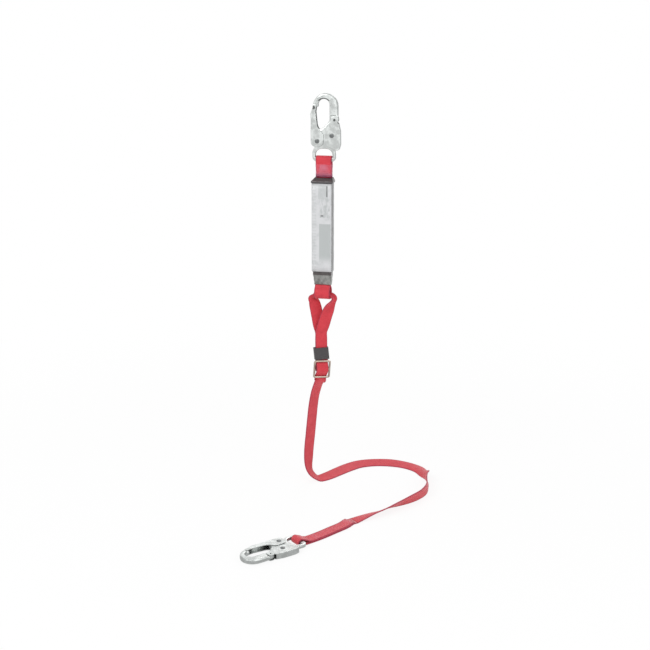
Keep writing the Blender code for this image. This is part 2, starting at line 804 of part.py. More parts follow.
# Places of the crossing in the pack's lower loop, the keeper and the adjuster
CROSSING_Z = LOOP_Z - LOOP_IN_R + CLEAR + WEB_THICK / 2
KEEPER_Z = CROSSING_Z - KEEPER_DROP
KEEPER_END = KEEPER_Z - KEEPER_H / 2
ADJUSTER_Z = KEEPER_END - KEEPER_GAP - ADJUSTER_H / 2
ADJUSTER_Y = -LAYER_Y - WEB_THICK / 2 - CLEAR - ROD_R
STRAP_TURN = 180 + ADJUSTER_YAW
TURNED = Matrix.Rotation(math.radians(ADJUSTER_YAW), 4, "Z")
KEEPER_SEAT = Matrix.Translation((ADJUSTER_X, 0, KEEPER_Z)) @ TURNED
KEEPER_PLACE = KEEPER_SEAT @ Matrix.Translation((-KEEPER_SHIFT, 0, 0))
# The adjuster's frame of reference is its middle bar; it tilts about the foot of the legs above it
TILT_ROOM = STRAP_W / 2 * math.sin(math.radians(ADJUSTER_TILT))
FOOT_RISE = ADJUSTER_H / 2 + KEEPER_GAP + TILT_ROOM
FOOT_PLACE = Matrix.Translation((ADJUSTER_X, 0, ADJUSTER_Z + FOOT_RISE)) @ TURNED
TILTED = Matrix.Rotation(math.radians(ADJUSTER_TILT), 4, "Y")
ADJUSTER_PLACE = FOOT_PLACE @ TILTED @ Matrix.Translation((0, 0, -FOOT_RISE))
HALF_DROP = ADJUSTER_H / 2 + EXIT_DROP
EXIT, LEAD = [
    ADJUSTER_PLACE @ Vector((SLACK - ADJUSTER_SLACK, -LAYER_Y, -HALF_DROP - lead))
    for lead in (0.0, 0.0030)
]
STRAP_DROP = EXIT.z - GROUND_Z

# The strap through the pack's lower loop: x, y, height from the crossing, turn of the width, curl
LOOP_STATIONS = [
    (-0.0115, 0.0022, -0.0850, 203, 0.0),
    (-0.0131, 0.0024, -0.0630, 198, 0.0),
    (-0.0155, 0.0022, -0.0390, 200, 0.0),
    (-0.0190, 0.0012, -0.0185, 212, 0.4),
    (-0.0206, 0.0004, -0.0090, 230, 1.1),
    (-0.0227, 0.0000, -0.0022, 254, 2.1),
    (-0.0185, 0.0000, 0.0000, 268, 2.9),
    (-0.0110, 0.0000, 0.0000, 270, 3.1),
    (0.0050, 0.0000, 0.0000, 270, 3.1),
    (0.0136, 0.0000, 0.0000, 268, 2.9),
    (0.0171, 0.0000, -0.0030, 258, 2.1),
    (0.0150, -0.0005, -0.0100, 244, 1.1),
    (0.0116, -0.0015, -0.0190, 226, 0.5),
    (0.0085, -0.0024, -0.0290, 210, 0.1),
    (0.0048, -0.0026, -0.0400, 202, 0.0),
    (-0.0004, -0.0025, -0.0635, 199, 0.0),
    (-0.0054, -0.0026, -0.0880, 205, 0.0),
]
# Plan of the strap on the ground: x, y and how far its width leans down to the right of its run
GROUND_STATIONS = [
    (-0.0136, 0.0092, 9),
    (-0.0037, 0.0153, 12),
    (0.0042, 0.0250, 14),
    (0.0196, 0.0495, 17),
    (0.0367, 0.0765, 18),
    (0.0565, 0.1013, 16),
    (0.0904, 0.1207, 15),
    (0.1279, 0.1251, 15),
    (0.1560, 0.1168, 15),
    (0.1800, 0.0985, 20),
    (0.1990, 0.0745, 45),
    (0.2110, 0.0515, 72),
    (0.2180, 0.0300, 86),
    (0.2214, 0.0100, 90),
    (0.2208, -0.0140, 89),
    (0.2113, -0.0490, 85),
    (0.1967, -0.0778, 75),
    (0.1759, -0.1036, 57),
    (0.1591, -0.1206, 43),
    (0.1461, -0.1340, 32),
    (0.1280, -0.1526, 20),
    (0.1110, -0.1700, 8),
    (0.0990, -0.1830, 0),
]
# The strap from the adjuster down to the ground: x, y, share of the drop, turn of the width and dip
HANGING_STATIONS = [
    (*EXIT[:2], 0.0, STRAP_TURN, -ADJUSTER_TILT),
    (*LEAD[:2], (EXIT.z - LEAD.z) / STRAP_DROP, STRAP_TURN, -ADJUSTER_TILT),
    (-0.0090, -0.0025, 0.0320, 215, -4),
    (-0.0116, -0.0008, 0.0560, 223, -3),
    (-0.0155, 0.0010, 0.0900, 230, -1),
    (-0.0205, 0.0016, 0.1660, 234, 0),
    (-0.0238, 0.0012, 0.2620, 233, 0),
    (-0.0265, 0.0012, 0.3770, 232, 0),
    (-0.0291, 0.0018, 0.4920, 231, 0),
    (-0.0305, 0.0020, 0.5560, 231, 0),
    (-0.0318, 0.0020, 0.6090, 231, 0),
    (-0.0339, 0.0020, 0.7260, 234, 0),
    (-0.0343, 0.0022, 0.7840, 238, 2),
    (-0.0342, 0.0025, 0.8300, 245, 5),
    (-0.0330, 0.0030, 0.8750, 256, 9),
    (-0.0297, 0.0040, 0.9180, 271, 12),
    (-0.0230, 0.0060, 0.9560, 287, 12),
]
SPLIT = 9


def facing(degrees):
    return Vector((math.cos(math.radians(degrees)), math.sin(math.radians(degrees)), 0))


def facing_down(turn, dip):
    return facing(turn) * math.cos(math.radians(dip)) - UP * math.sin(math.radians(dip))


def build_strap_loop():
    settle = 0.0030
    ends = []
    for side in (LAYER_Y, -LAYER_Y):
        leg = [FOOT_PLACE @ Vector((0, side, k * settle)) for k in range(2)]
        leg.append(KEEPER_PLACE @ Vector((0, side, 0)))
        leg.append(KEEPER_PLACE @ Vector((-KEEPER_LEAN / 2, side, KEEPER_H / 2 + settle)))
        ends.append(leg)
    first, last = ends
    middle = [Vector((x, y, z + CROSSING_Z)) for x, y, z, turn, cup in LOOP_STATIONS]
    places = [*first, *middle, *reversed(last)]
    turns = [station[3] for station in LOOP_STATIONS]
    curls = [station[4] for station in LOOP_STATIONS]
    chords = chords_of(places)
    points = eased(places, chords, 3)
    legs = [STRAP_TURN] * len(first)
    across = [facing(turn) for turn in eased([*legs, *turns, *legs], chords, 3)]
    flat = [0.0] * len(first)
    cups = eased([*flat, *curls, *flat], chords, 3)
    ribbon("strap_loop", points, across, STRAP_W, RED_WEBBING, cups=cups, columns=4)


def ground_route():
    """Centre points and width directions of the strap on the ground, its right edge down on it."""
    plan = [Vector((x, y, 0)) for x, y, lean in GROUND_STATIONS]
    points = []
    across = []
    for i, (x, y, lean) in enumerate(GROUND_STATIONS):
        run = (plan[min(i + 1, len(plan) - 1)] - plan[max(i - 1, 0)]).normalized()
        right = Vector((run.y, -run.x, 0))
        turn = math.radians(lean)
        height = STRAP_W / 2 * math.sin(turn) + WEB_THICK / 2 * math.cos(turn) + CLEAR
        points.append(Vector((x, y, GROUND_Z + height)))
        across.append(right * math.cos(turn) - UP * math.sin(turn))
    return points, across


def build_strap_below():
    """The strap from the adjuster: it hangs, bends at the ground, leans outward and turns back flat."""
    hanging = [Vector((x, y, EXIT.z - STRAP_DROP * share)) for x, y, share, turn, dip in HANGING_STATIONS]
    sides = [facing_down(turn, dip) for x, y, share, turn, dip in HANGING_STATIONS]
    ground, leaning = ground_route()
    chords = chords_of(hanging + ground)
    points = eased(hanging + ground, chords, 3)
    across = eased(sides + leaning, chords, 3)
    cut_at = SPLIT * 3
    ribbon("strap_fall", points[: cut_at + 1], across[: cut_at + 1], STRAP_W, RED_WEBBING)
    run = points[cut_at:]
    run[0] = run[0] + (run[1] - run[0]).normalized() * CLEAR
    ribbon("strap_run", run, across[cut_at:], STRAP_W, RED_WEBBING)


# Plan of the sewn end: x and y from the eye bar, between its first straight and where the strap joins
EYE_PLAN = [(0.0330, 0.0400), (0.0510, 0.0675), (0.0715, 0.1010)]


def build_strap_eye():
    """The strap's sewn end: under the lower hook's eye bar, round it and back over itself."""
    bar = Vector((*LOWER_SEAT, 0)) + OUTWARD * EYE_DROP - SIDEWAYS * EYE_SHIFT
    last = Vector(GROUND_STATIONS[-1][:2]).to_3d()
    onward = (last - Vector(GROUND_STATIONS[-2][:2]).to_3d()).normalized()
    between = [bar + Vector((x, y, 0)) for x, y in EYE_PLAN]
    corners = [bar, bar + OUTWARD * EYE_LEAD, *between, last + onward * EYE_ONWARD, last]
    plan = eased(corners, chords_of(corners), 8)
    lengths = [0.0]
    for a, b in zip(plan, plan[1:]):
        lengths.append(lengths[-1] + (b - a).length)

    def place(s):
        if s <= 0:
            return bar + OUTWARD * s, OUTWARD
        i = max(k for k, length in enumerate(lengths[:-1]) if length <= s)
        run = (plan[i + 1] - plan[i]).normalized()
        return plan[i] + run * (s - lengths[i]), run

    full = lengths[-1] - 2 * SLACK
    low = LYING_HEIGHT - EYE_LOOP_R
    high = low + WEB_THICK + CLEAR
    fall = LYING_HEIGHT + EYE_LOOP_R - high
    loop = arc((0, LYING_HEIGHT), EYE_LOOP_R, 270, 60, 14)
    steps = 8
    tail = full - EYE_STEP
    root = full - EYE_STEP / 3
    bottom = [(root - (root - EYE_STEP) * k / steps, low) for k in range(steps)]
    shoulder = [
        (EYE_LAP * onward_share, high + fall * rise)
        for onward_share, rise in ((0.34, 0.59), (0.54, 0.21), (0.76, 0.02))
    ]
    top = [(EYE_LAP + (tail - EYE_LAP) * k / steps, high) for k in range(steps + 1)]
    path = []
    across = []
    for s, height in [(full, low), *bottom, *loop, *shoulder, *top]:
        point, run = place(s)
        path.append(point + UP * (GROUND_Z + height))
        across.append(Vector((run.y, -run.x, 0)))
    ribbon("strap_eye", path, across, STRAP_W, RED_WEBBING, columns=1)


def build_adjuster():
    """The keeper, the three-bar adjuster, the sewn end on its middle bar and the strap woven through."""
    inner_w = STRAP_W + 2 * (SLACK + KEEPER_SLACK)
    inner_d = 2 * (LAYER_Y + WEB_THICK / 2 + SLACK + CLEAR)
    wide, deep = inner_w + 2 * KEEPER_WALL, inner_d + 2 * KEEPER_WALL
    ends = (
        (KEEPER_H / 2, wide, deep, -KEEPER_LEAN / 2),
        (-KEEPER_H / 2, wide, deep, KEEPER_LEAN / 2),
    )
    sleeve("keeper", ends, KEEPER_WALL, BLACK_PLASTIC, KEEPER_PLACE)

    window_w = STRAP_W + 2 * ADJUSTER_SLACK
    outer_w = window_w + 4 * ROD_R
    window_h = (ADJUSTER_H - 6 * ROD_R) / 2
    outlines = []
    for z, w, h, radius in (
        (0, outer_w, ADJUSTER_H, 0.0045),
        (ROD_R + window_h / 2, window_w, window_h, 0.0015),
        (-ROD_R - window_h / 2, window_w, window_h, 0.0015),
    ):
        corners = ((-w / 2, h / 2), (w / 2, h / 2), (w / 2, -h / 2), (-w / 2, -h / 2))
        outlines.append(rounded([(a, z + b, radius) for a, b in corners], 30))
    frame = baked(plate("adjuster", outlines, 2 * ROD_R, ROD_R * 0.85, ADJUSTER_Y))
    frame.transform(ADJUSTER_PLACE)
    smooth_shade(frame)
    add("adjuster", frame, NICKEL)

    hug = ROD_R + CLEAR + WEB_THICK / 2
    wrap = hug + WEB_THICK + CLEAR
    bar_gap = ADJUSTER_H / 2 - ROD_R
    lean = math.degrees(math.asin((hug + wrap) / bar_gap))
    rear = arc((ADJUSTER_Y, bar_gap), hug, 0, -lean, 3)
    front = arc((ADJUSTER_Y, 0), wrap, 180 - lean, 180 + lean, 6)
    out = arc((ADJUSTER_Y, -bar_gap), hug, lean, 0, 3)
    foot = FOOT_RISE - TILT_ROOM - SLACK
    points = [(-LAYER_Y, foot), *rear, *front, *out, (-LAYER_Y, 2 * SLACK - HALF_DROP)]
    woven(points, "strap_weave", (SLACK - ADJUSTER_SLACK) / (foot + HALF_DROP))
    ring = arc((ADJUSTER_Y, 0), hug + CLEAR / 2, -14, -240, 18)
    woven([(LAYER_Y, foot), (LAYER_Y, bar_gap - 0.003), *ring], "strap_end", 0.0)


def woven(points, name, drift):
    """Strap among the adjuster's bars, from (y, z) points; drift is its sideways shift per fall."""
    top = points[0][1]
    path = [ADJUSTER_PLACE @ Vector((drift * (top - z), y, z)) for y, z in points]
    side = ADJUSTER_PLACE.to_3x3() @ Vector((1, 0, 0))
    ribbon(name, path, [side] * len(path), STRAP_W, RED_WEBBING, columns=1)


build_pack()
build_strap_loop()
build_adjuster()
build_strap_below()
build_strap_eye()
bpy.context.view_layer.update()
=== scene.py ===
"""Adjustable shock-absorbing lanyard: finishes, webbing, stitching, sleeve and studio.

Metres throughout. The origin is where the upper hook's crown bears on its anchor, Z runs up the
hanging line, X to the upper hook's spine side and Y to the back of the absorber pack.
"""

from math import asin, cos, degrees, pi, radians, sin, tan

import bmesh
import bpy
from mathutils import Matrix, Vector


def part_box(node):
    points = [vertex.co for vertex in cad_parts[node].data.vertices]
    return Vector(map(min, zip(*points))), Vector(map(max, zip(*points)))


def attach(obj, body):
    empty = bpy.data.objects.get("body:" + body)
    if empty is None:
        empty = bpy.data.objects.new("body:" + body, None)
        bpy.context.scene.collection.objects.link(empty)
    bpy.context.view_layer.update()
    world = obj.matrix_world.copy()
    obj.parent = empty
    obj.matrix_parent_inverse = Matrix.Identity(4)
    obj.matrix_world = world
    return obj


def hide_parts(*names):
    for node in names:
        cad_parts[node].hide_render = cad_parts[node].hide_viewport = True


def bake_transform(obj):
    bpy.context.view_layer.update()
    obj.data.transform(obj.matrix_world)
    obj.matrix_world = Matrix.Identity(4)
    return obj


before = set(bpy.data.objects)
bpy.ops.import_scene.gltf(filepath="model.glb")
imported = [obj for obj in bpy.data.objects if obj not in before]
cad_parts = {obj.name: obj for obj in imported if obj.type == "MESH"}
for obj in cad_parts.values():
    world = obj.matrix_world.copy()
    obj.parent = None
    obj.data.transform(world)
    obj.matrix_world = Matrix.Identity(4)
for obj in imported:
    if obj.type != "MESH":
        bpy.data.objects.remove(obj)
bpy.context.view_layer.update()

bl_info = {
    "name": "Shock-absorbing lanyard",
    "version": (1, 0, 0),
    "blender": (4, 5, 0),
    "location": "3D View > Sidebar > Lanyard",
    "description": "Builds the webbing, sleeve, fittings and studio of an adjustable lanyard",
    "category": "Add Mesh",
}

UP = Vector((0, 0, 1))

# Webbing, as cut
STRAP_WIDTH = 0.0254
PACK_WEB_WIDTH = 0.0320
WEB_THICK = 0.0024
WEB_GAP = 0.0003
LAYER_Y = 0.0015
WEB_COLUMNS = 8
EDGE_SHARE = 0.42
FLAT_CUP = 0.02
# A curled strap's edges hang about its width times its curl, over this, below its middle
CURL_PARTS = 13

# Places read off the fitted nodes
KEEPER_LOW, KEEPER_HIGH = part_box("keeper")
COVER_LOW, COVER_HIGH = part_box("pack_cover")
COLLAR_LOW, COLLAR_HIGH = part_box("pack_collar")
BOOT_LOW, BOOT_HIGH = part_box("pack_boot")
STUB_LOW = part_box("shackle_webbing")[0]
PACK_LOOP_LOW, PACK_LOOP_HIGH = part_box("pack_lower_loop")
TEAR_LOW, TEAR_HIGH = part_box("tear_webbing")
LABEL_LOW, LABEL_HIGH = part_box("label_sheet")
PACK_X = (COVER_LOW.x + COVER_HIGH.x) / 2
EYE_DROP = 0.1180
EYE_LOOP_R = 0.00646
PACK_LOOP_R = 0.0122
PACK_LOOP_Z = PACK_LOOP_LOW.z + WEB_THICK / 2 + PACK_LOOP_R
CROSSING_Z = PACK_LOOP_LOW.z + WEB_THICK + WEB_GAP + WEB_THICK / 2

# The adjuster and the keeper are turned together, and the adjuster tilts about the legs' foot
ADJUSTER_X = -0.0050
ADJUSTER_H = 0.0380
ADJUSTER_YAW = 30
ADJUSTER_TILT = 4
BAR_R = 0.0021
EXIT_DROP = 0.0038
KEEPER_GAP = 0.0014
KEEPER_TRAVEL = 0.0300
LEG_SLOPE = tan(radians(0.6))
KEEPER_SHIFT = 0.0012
SIDE_SHIFT = 0.0009
STRAP_TURN = 180 + ADJUSTER_YAW
TURNED = Matrix.Rotation(radians(ADJUSTER_YAW), 4, "Z")
TILT_ROOM = STRAP_WIDTH / 2 * sin(radians(ADJUSTER_TILT))
FOOT_RISE = ADJUSTER_H / 2 + KEEPER_GAP + TILT_ROOM
FOOT_PLACE = Matrix.Translation((ADJUSTER_X, 0, KEEPER_LOW.z + TILT_ROOM)) @ TURNED
TILTED = Matrix.Rotation(radians(ADJUSTER_TILT), 4, "Y")
ADJUSTER_PLACE = FOOT_PLACE @ TILTED @ Matrix.Translation((0, 0, -FOOT_RISE))
KEEPER_SEAT = Matrix.Translation((ADJUSTER_X, 0, (KEEPER_LOW.z + KEEPER_HIGH.z) / 2)) @ TURNED
KEEPER_PLACE = KEEPER_SEAT @ Matrix.Translation((-KEEPER_SHIFT, 0, 0))
HALF_DROP = ADJUSTER_H / 2 + EXIT_DROP
EXIT, LEAD = [
    ADJUSTER_PLACE @ Vector((-SIDE_SHIFT, -LAYER_Y, -HALF_DROP - lead)) for lead in (0.0, 0.0030)
]
GROUND_Z = -0.8020
STRAP_DROP = EXIT.z - GROUND_Z

# Painted shade on the upper hook, at the nose joint, the ear hole and inside the crown: x, z, inner
# and outer radius of the mark, its lowest z
PAINTED_SHADE_SPOTS = [
    (-0.0206, -0.0166, 0.0, 0.0038, -0.0210),
    (0.0214, -0.0400, 0.0, 0.0027, -0.0430),
    (0.0002, -0.0130, 0.0125, 0.0155, -0.0035),
]

# Route of the strap below the adjuster: x, y, share of the drop, turn of the width and its dip
HANGING_ROUTE = [
    (*EXIT[:2], 0.0, STRAP_TURN, -ADJUSTER_TILT),
    (*LEAD[:2], (EXIT.z - LEAD.z) / STRAP_DROP, STRAP_TURN, -ADJUSTER_TILT),
    (-0.0102, -0.0028, 0.0280, 226, -4),
    (-0.0131, -0.0012, 0.0560, 232, -3),
    (-0.0160, 0.0008, 0.0900, 232, -1),
    (-0.0205, 0.0016, 0.1660, 234, 0),
    (-0.0238, 0.0012, 0.2620, 233, 0),
    (-0.0265, 0.0012, 0.3770, 232, 0),
    (-0.0291, 0.0018, 0.4920, 231, 0),
    (-0.0305, 0.0020, 0.5560, 231, 0),
    (-0.0318, 0.0020, 0.6090, 231, 0),
    (-0.0339, 0.0020, 0.7260, 234, 0),
    (-0.0343, 0.0022, 0.7840, 238, 2),
    (-0.0342, 0.0025, 0.8300, 245, 5),
    (-0.0330, 0.0030, 0.8750, 256, 9),
    (-0.0297, 0.0040, 0.9180, 271, 12),
    (-0.0230, 0.0060, 0.9560, 287, 12),
]
# Route on the ground: x, y, how far the width leans down to the right of its run, curl
GROUND_ROUTE = [
    (-0.0136, 0.0092, 9, 0),
    (-0.0037, 0.0153, 12, 0),
    (0.0042, 0.0250, 14, 0),
    (0.0196, 0.0495, 17, 0),
    (0.0367, 0.0765, 18, 0),
    (0.0565, 0.1013, 16, 0),
    (0.0859, 0.1177, 14, 0),
    (0.1241, 0.1236, 14, 0),
    (0.1610, 0.1173, 10, -0.3),
    (0.1860, 0.1010, 12, -1.2),
    (0.1988, 0.0780, 20, -2.2),
    (0.2055, 0.0570, 60, -2.2),
    (0.2118, 0.0363, 92, -1.1),
    (0.2180, 0.0075, 97, 0),
    (0.2200, -0.0220, 88, 0),
    (0.2113, -0.0535, 74, 0),
    (0.1957, -0.0798, 64, 0.1),
    (0.1767, -0.1006, 49, -0.1),
    (0.1603, -0.1181, 36, 0.1),
    (0.1481, -0.1348, 32, 0),
    (0.1280, -0.1526, 20, 0),
    (0.1110, -0.1700, 8, 0),
    (0.0990, -0.1830, 0, 0),
]
# Route through the pack's lower loop: x, y, height from the crossing, turn of the width, curl
LOOP_ROUTE = [
    (-0.0112, 0.0014, -0.0600, 202, 0),
    (-0.0152, 0.0022, -0.0390, 200, 0),
    (-0.0190, 0.0012, -0.0185, 212, 0.4),
    (-0.0206, 0.0004, -0.0090, 230, 1.1),
    (-0.0227, 0, -0.0022, 254, 2.1),
    (-0.0185, 0, 0, 268, 2.9),
    (-0.0110, 0, 0, 270, 3.1),
    (0.0050, 0, 0, 270, 3.1),
    (0.0136, 0, 0, 268, 2.9),
    (0.0171, 0, -0.0030, 258, 2.1),
    (0.0150, -0.0005, -0.0100, 244, 1.1),
    (0.0116, -0.0015, -0.0190, 226, 0.5),
    (0.0085, -0.0024, -0.0290, 210, 0.1),
    (0.0046, -0.0026, -0.0400, 202, 0),
    (-0.0008, -0.0028, -0.0590, 200, 0),
]
# The lower hook lies on the ground: the seat of its bowl, and how far its length is turned from +X
LOWER_SEAT = Vector((-0.0622, -0.3957, 0))
LOWER_YAW = radians(48)
OUTWARD = Vector((cos(LOWER_YAW), sin(LOWER_YAW), 0))
SIDEWAYS = Vector((sin(LOWER_YAW), -cos(LOWER_YAW), 0))
LYING_HEIGHT = EYE_LOOP_R + WEB_THICK / 2 + WEB_GAP
EYE_SHIFT = 0.0030
EYE_LEAD = 0.0200
EYE_LAP = 0.0340
EYE_STEP = 0.0100
EYE_ONWARD = 0.0120
# Plan of the sewn end: x and y from the eye bar, from its first straight to where the strap joins
EYE_ROUTE = [(0.0330, 0.0400), (0.0510, 0.0675), (0.0715, 0.1010)]
LOW_LAYER = LYING_HEIGHT - EYE_LOOP_R
TOP_LAYER = LOW_LAYER + WEB_THICK + WEB_GAP
LAP_TOP = TOP_LAYER + WEB_THICK / 2
# Radius of the thread, and the share of a stitch's pitch that shows
STITCH_R = 0.00034
STITCH_SHARE = 0.78
# The sleeve's rounded corners, the spacing of its points and the dark bands at its ends
SLEEVE_CORNER = 0.0050
SLEEVE_COLUMN = 0.0022
SLEEVE_STEP = 0.0018
COLLAR_BAND = 0.0022
BOOT_BAND = 0.0070
# The kinds of ray that see the studio pure white
SEEN_RAYS = ("Is Camera Ray", "Is Glossy Ray", "Is Transmission Ray")


def shader_maths(operation, swapped=False):
    """A method that adds one Math node, fed by the signal itself and any other value."""

    def method(self, *others):
        values = (*others, self) if swapped else (self, *others)
        inputs = dict(enumerate(values))
        made = self.finish.node("Math", {"operation": operation}, inputs)
        return Signal(self.finish, made.outputs[0])

    return method


class Signal:
    """A shader socket that works in Python arithmetic: each operator adds its Math node."""

    def __init__(self, finish, socket):
        self.finish = finish
        self.socket = socket

    __add__ = __radd__ = shader_maths("ADD")
    __sub__ = shader_maths("SUBTRACT")
    __rsub__ = shader_maths("SUBTRACT", swapped=True)
    __mul__ = __rmul__ = shader_maths("MULTIPLY")
    __truediv__ = shader_maths("DIVIDE")
    __abs__ = shader_maths("ABSOLUTE")
    __gt__ = shader_maths("GREATER_THAN")
    __lt__ = shader_maths("LESS_THAN")
    sine = shader_maths("SINE")
    fraction = shader_maths("FRACT")

    def within(self, low, high):
        """1 where the value is between low and high, else 0."""
        return (self > low) * (self < high)

    def ramp(self, low, high):
        """0 at low and 1 at high, eased between them."""
        made = self.finish.node(
            "MapRange",
            {"interpolation_type": "SMOOTHSTEP"},
            {"Value": self, "From Min": low, "From Max": high},
        )
        return Signal(self.finish, made.outputs[0])


class Finish:
    """A material being mixed: its nodes and the shader that they feed."""

    def __init__(self, name, **constants):
        self.material = bpy.data.materials.new(name)
        self.material.use_nodes = True
        self.tree = self.material.node_tree
        self.shader = self.tree.nodes["Principled BSDF"]
        self.set(**constants)

    def set(self, **values):
        """Feeds the shader: a key is a socket's name in lower case, with _ for a space."""
        names = {socket.name.lower().replace(" ", "_"): socket for socket in self.shader.inputs}
        for key, value in values.items():
            self.feed(names[key], value)

    def feed(self, socket, value):
        if isinstance(value, Signal):
            self.tree.links.new(value.socket, socket)
        elif socket.type == "RGBA" and len(value) == 3:
            socket.default_value = (*value, 1)
        else:
            socket.default_value = value

    def node(self, kind, settings=None, inputs=None):
        """A shader node of any kind: its settings first, then what feeds its sockets."""
        made = self.tree.nodes.new("ShaderNode" + kind)
        for key, value in (settings or {}).items():
            setattr(made, key, value)
        for key, value in (inputs or {}).items():
            self.feed(made.inputs[key], value)
        return made

    def mix(self, share, first, second):
        """Colour first where share is 0 and second where it is 1."""
        made = self.node("Mix", {"data_type": "RGBA"}, {0: share, 6: first, 7: second})
        return Signal(self, made.outputs[2])

    def axes(self, vector):
        made = self.node("SeparateXYZ", inputs={0: vector})
        return [Signal(self, out) for out in made.outputs]

    def lay(self):
        """Metres across and along a strip of webbing, from its own map."""
        made = self.node("UVMap", {"uv_map": "lay"})
        return self.axes(Signal(self, made.outputs[0]))[:2]

    def place(self):
        """The point on the object, in metres."""
        made = self.node("TexCoord")
        return Signal(self, made.outputs["Object"])

    def noise(self, scale, detail, stretch=None):
        vector = self.place()
        if stretch:
            inputs = {0: vector, 1: stretch}
            scaled = self.node("VectorMath", {"operation": "MULTIPLY"}, inputs)
            vector = Signal(self, scaled.outputs[0])
        inputs = {"Vector": vector, "Scale": scale, "Detail": detail}
        return Signal(self, self.node("TexNoise", inputs=inputs).outputs[0])

    def bump(self, height, distance, strength):
        made = self.node(
            "Bump", inputs={"Height": height, "Distance": distance, "Strength": strength}
        )
        self.feed(self.shader.inputs["Normal"], Signal(self, made.outputs[0]))


def metres(name, default, description):
    return bpy.props.FloatProperty(
        name=name, default=default, description=description, unit="LENGTH", precision=4
    )


def colour(name, default, what):
    return bpy.props.FloatVectorProperty(
        name=name,
        default=default,
        description=f"Colour of {what}",
        subtype="COLOR",
        size=3,
        min=0,
        max=1,
    )


class WebbingSettings(bpy.types.PropertyGroup):
    strap_width: metres("Strap width", STRAP_WIDTH, "Width of the adjustable strap")
    pack_width: metres("Pack webbing width", PACK_WEB_WIDTH, "Width of the pack's own webbing")
    rib: metres("Rib pitch", 0.0021, "Distance between the weave's ribs across the strap")
    # Painted shade in the weave's hollows, between the raised yarns
    face: colour("Face", (0.80, 0.055, 0.078), "the webbing's raised yarns")
    valley_shade: colour("Valley shade", (0.47, 0.014, 0.028), "the gaps between the yarns")
    # Painted sheen: a paler, less saturated red for the free strap and the sewn end, for the bright
    # surroundings glancing off their faces
    paler_sheen: colour("Paler sheen face", (0.82, 0.100, 0.125), "the free strap's raised yarns")
    edge: colour("Edge", (0.34, 0.022, 0.060), "the firmer woven edges")
    thread: colour("Thread", (0.90, 0.30, 0.36), "the sewing thread")
    dark_thread: colour("Dark thread", (0.30, 0.030, 0.060), "the pad's edge seam")


class PackSettings(bpy.types.PropertyGroup):
    sleeve: colour("Sleeve", (0.11, 0.112, 0.114), "the shrunk sleeve")
    collar: colour("Collar", (0.024, 0.010, 0.012), "the band at the sleeve's top")
    boot: colour("Boot", (0.21, 0.215, 0.205), "the drawn-in end of the sleeve")
    film: colour("Film", (0.90, 0.36, 0.50), "the clear film over the upper webbing")
    label: colour("Label", (0.66, 0.665, 0.68), "the label sheet")
    panel: colour("Label panel", (0.45, 0.475, 0.475), "the label's tinted panels")
    mark: colour("Label mark", (0.055, 0.052, 0.056), "the label's plain dark marks")


class FittingSettings(bpy.types.PropertyGroup):
    steel: colour("Steel", (0.74, 0.77, 0.755), "the plated hooks")
    rivet: colour("Rivets", (0.22, 0.23, 0.23), "the rivets")
    wire: colour("Adjuster", (0.46, 0.37, 0.31), "the adjuster's plating")
    keeper: colour("Keeper", (0.050, 0.046, 0.049), "the moulded keeper")


class StudioSettings(bpy.types.PropertyGroup):
    distance: metres("Distance", 2.5, "Camera's distance from the hanging line")
    height: metres("Height", 0.248, "Camera's height above the upper hook's bearing point")
    aim: metres("Aim", -0.457, "Height that the camera looks at")
    side: metres("Side", 0.0016, "How far the camera's aim is moved to its right")
    azimuth: bpy.props.FloatProperty(
        name="Azimuth", default=12.0, description="Camera's turn to the spine side, in degrees"
    )
    view: bpy.props.FloatProperty(
        name="View",
        default=radians(28.67),
        description="Camera's angle of view",
        subtype="ANGLE",
    )
    backdrop: colour("Backdrop", (1.0, 1.0, 1.0), "floor and background")


def chords_of(points):
    return [(b - a).length for a, b in zip(points, points[1:])]


def reached(points):
    """The length run along a path at each of its points."""
    lengths = [0.0]
    for chord in chords_of(points):
        lengths.append(lengths[-1] + chord)
    return lengths


def heading(points, i):
    """Direction of a path at its point i, from the point before to the one after."""
    return (points[min(i + 1, len(points) - 1)] - points[max(i - 1, 0)]).normalized()


def eased(values, chords, per=6):
    """Values along a smooth curve through the given ones, per steps to each chord of the path."""
    slopes = [(b - a) / chord for a, b, chord in zip(values, values[1:], chords)]
    tangents = [slopes[0]]
    for i in range(1, len(values) - 1):
        before, after = chords[i - 1], chords[i]
        tangents.append((slopes[i - 1] * after + slopes[i] * before) / (before + after))
    tangents.append(slopes[-1])
    made = []
    for i, chord in enumerate(chords):
        for k in range(per):
            t = k / per
            left = (1 - t) ** 2
            start = values[i] * ((1 + 2 * t) * left) + tangents[i] * (chord * t * left)
            slope = tangents[i + 1] * (chord * t * t * (t - 1))
            end = values[i + 1] * (t * t * (3 - 2 * t)) + slope
            made.append(start + end)
    return [*made, values[-1]]


def arc(centre, radius, start, end, count):
    """Points (a, b) on an arc, angles in degrees."""
    turns = [radians(start + (end - start) * k / count) for k in range(count + 1)]
    return [(centre[0] + radius * cos(t), centre[1] + radius * sin(t)) for t in turns]


def web_section(width):
    """Half-round edges and flat faces of webbing: (across, through) points round its section."""
    half, edge = width / 2, WEB_THICK * EDGE_SHARE
    side = arc((half - edge, 0), edge, -60, 60, 3)
    flat = width - 2 * edge
    stops = range(WEB_COLUMNS + 1)
    top = [(half - edge - flat * k / WEB_COLUMNS, WEB_THICK / 2) for k in stops]
    right = [(x, z * WEB_THICK / 2 / edge) for x, z in side]
    low = [(-x, -z) for x, z in top]
    return [*right, *top, *[(-x, -z) for x, z in right], *low]


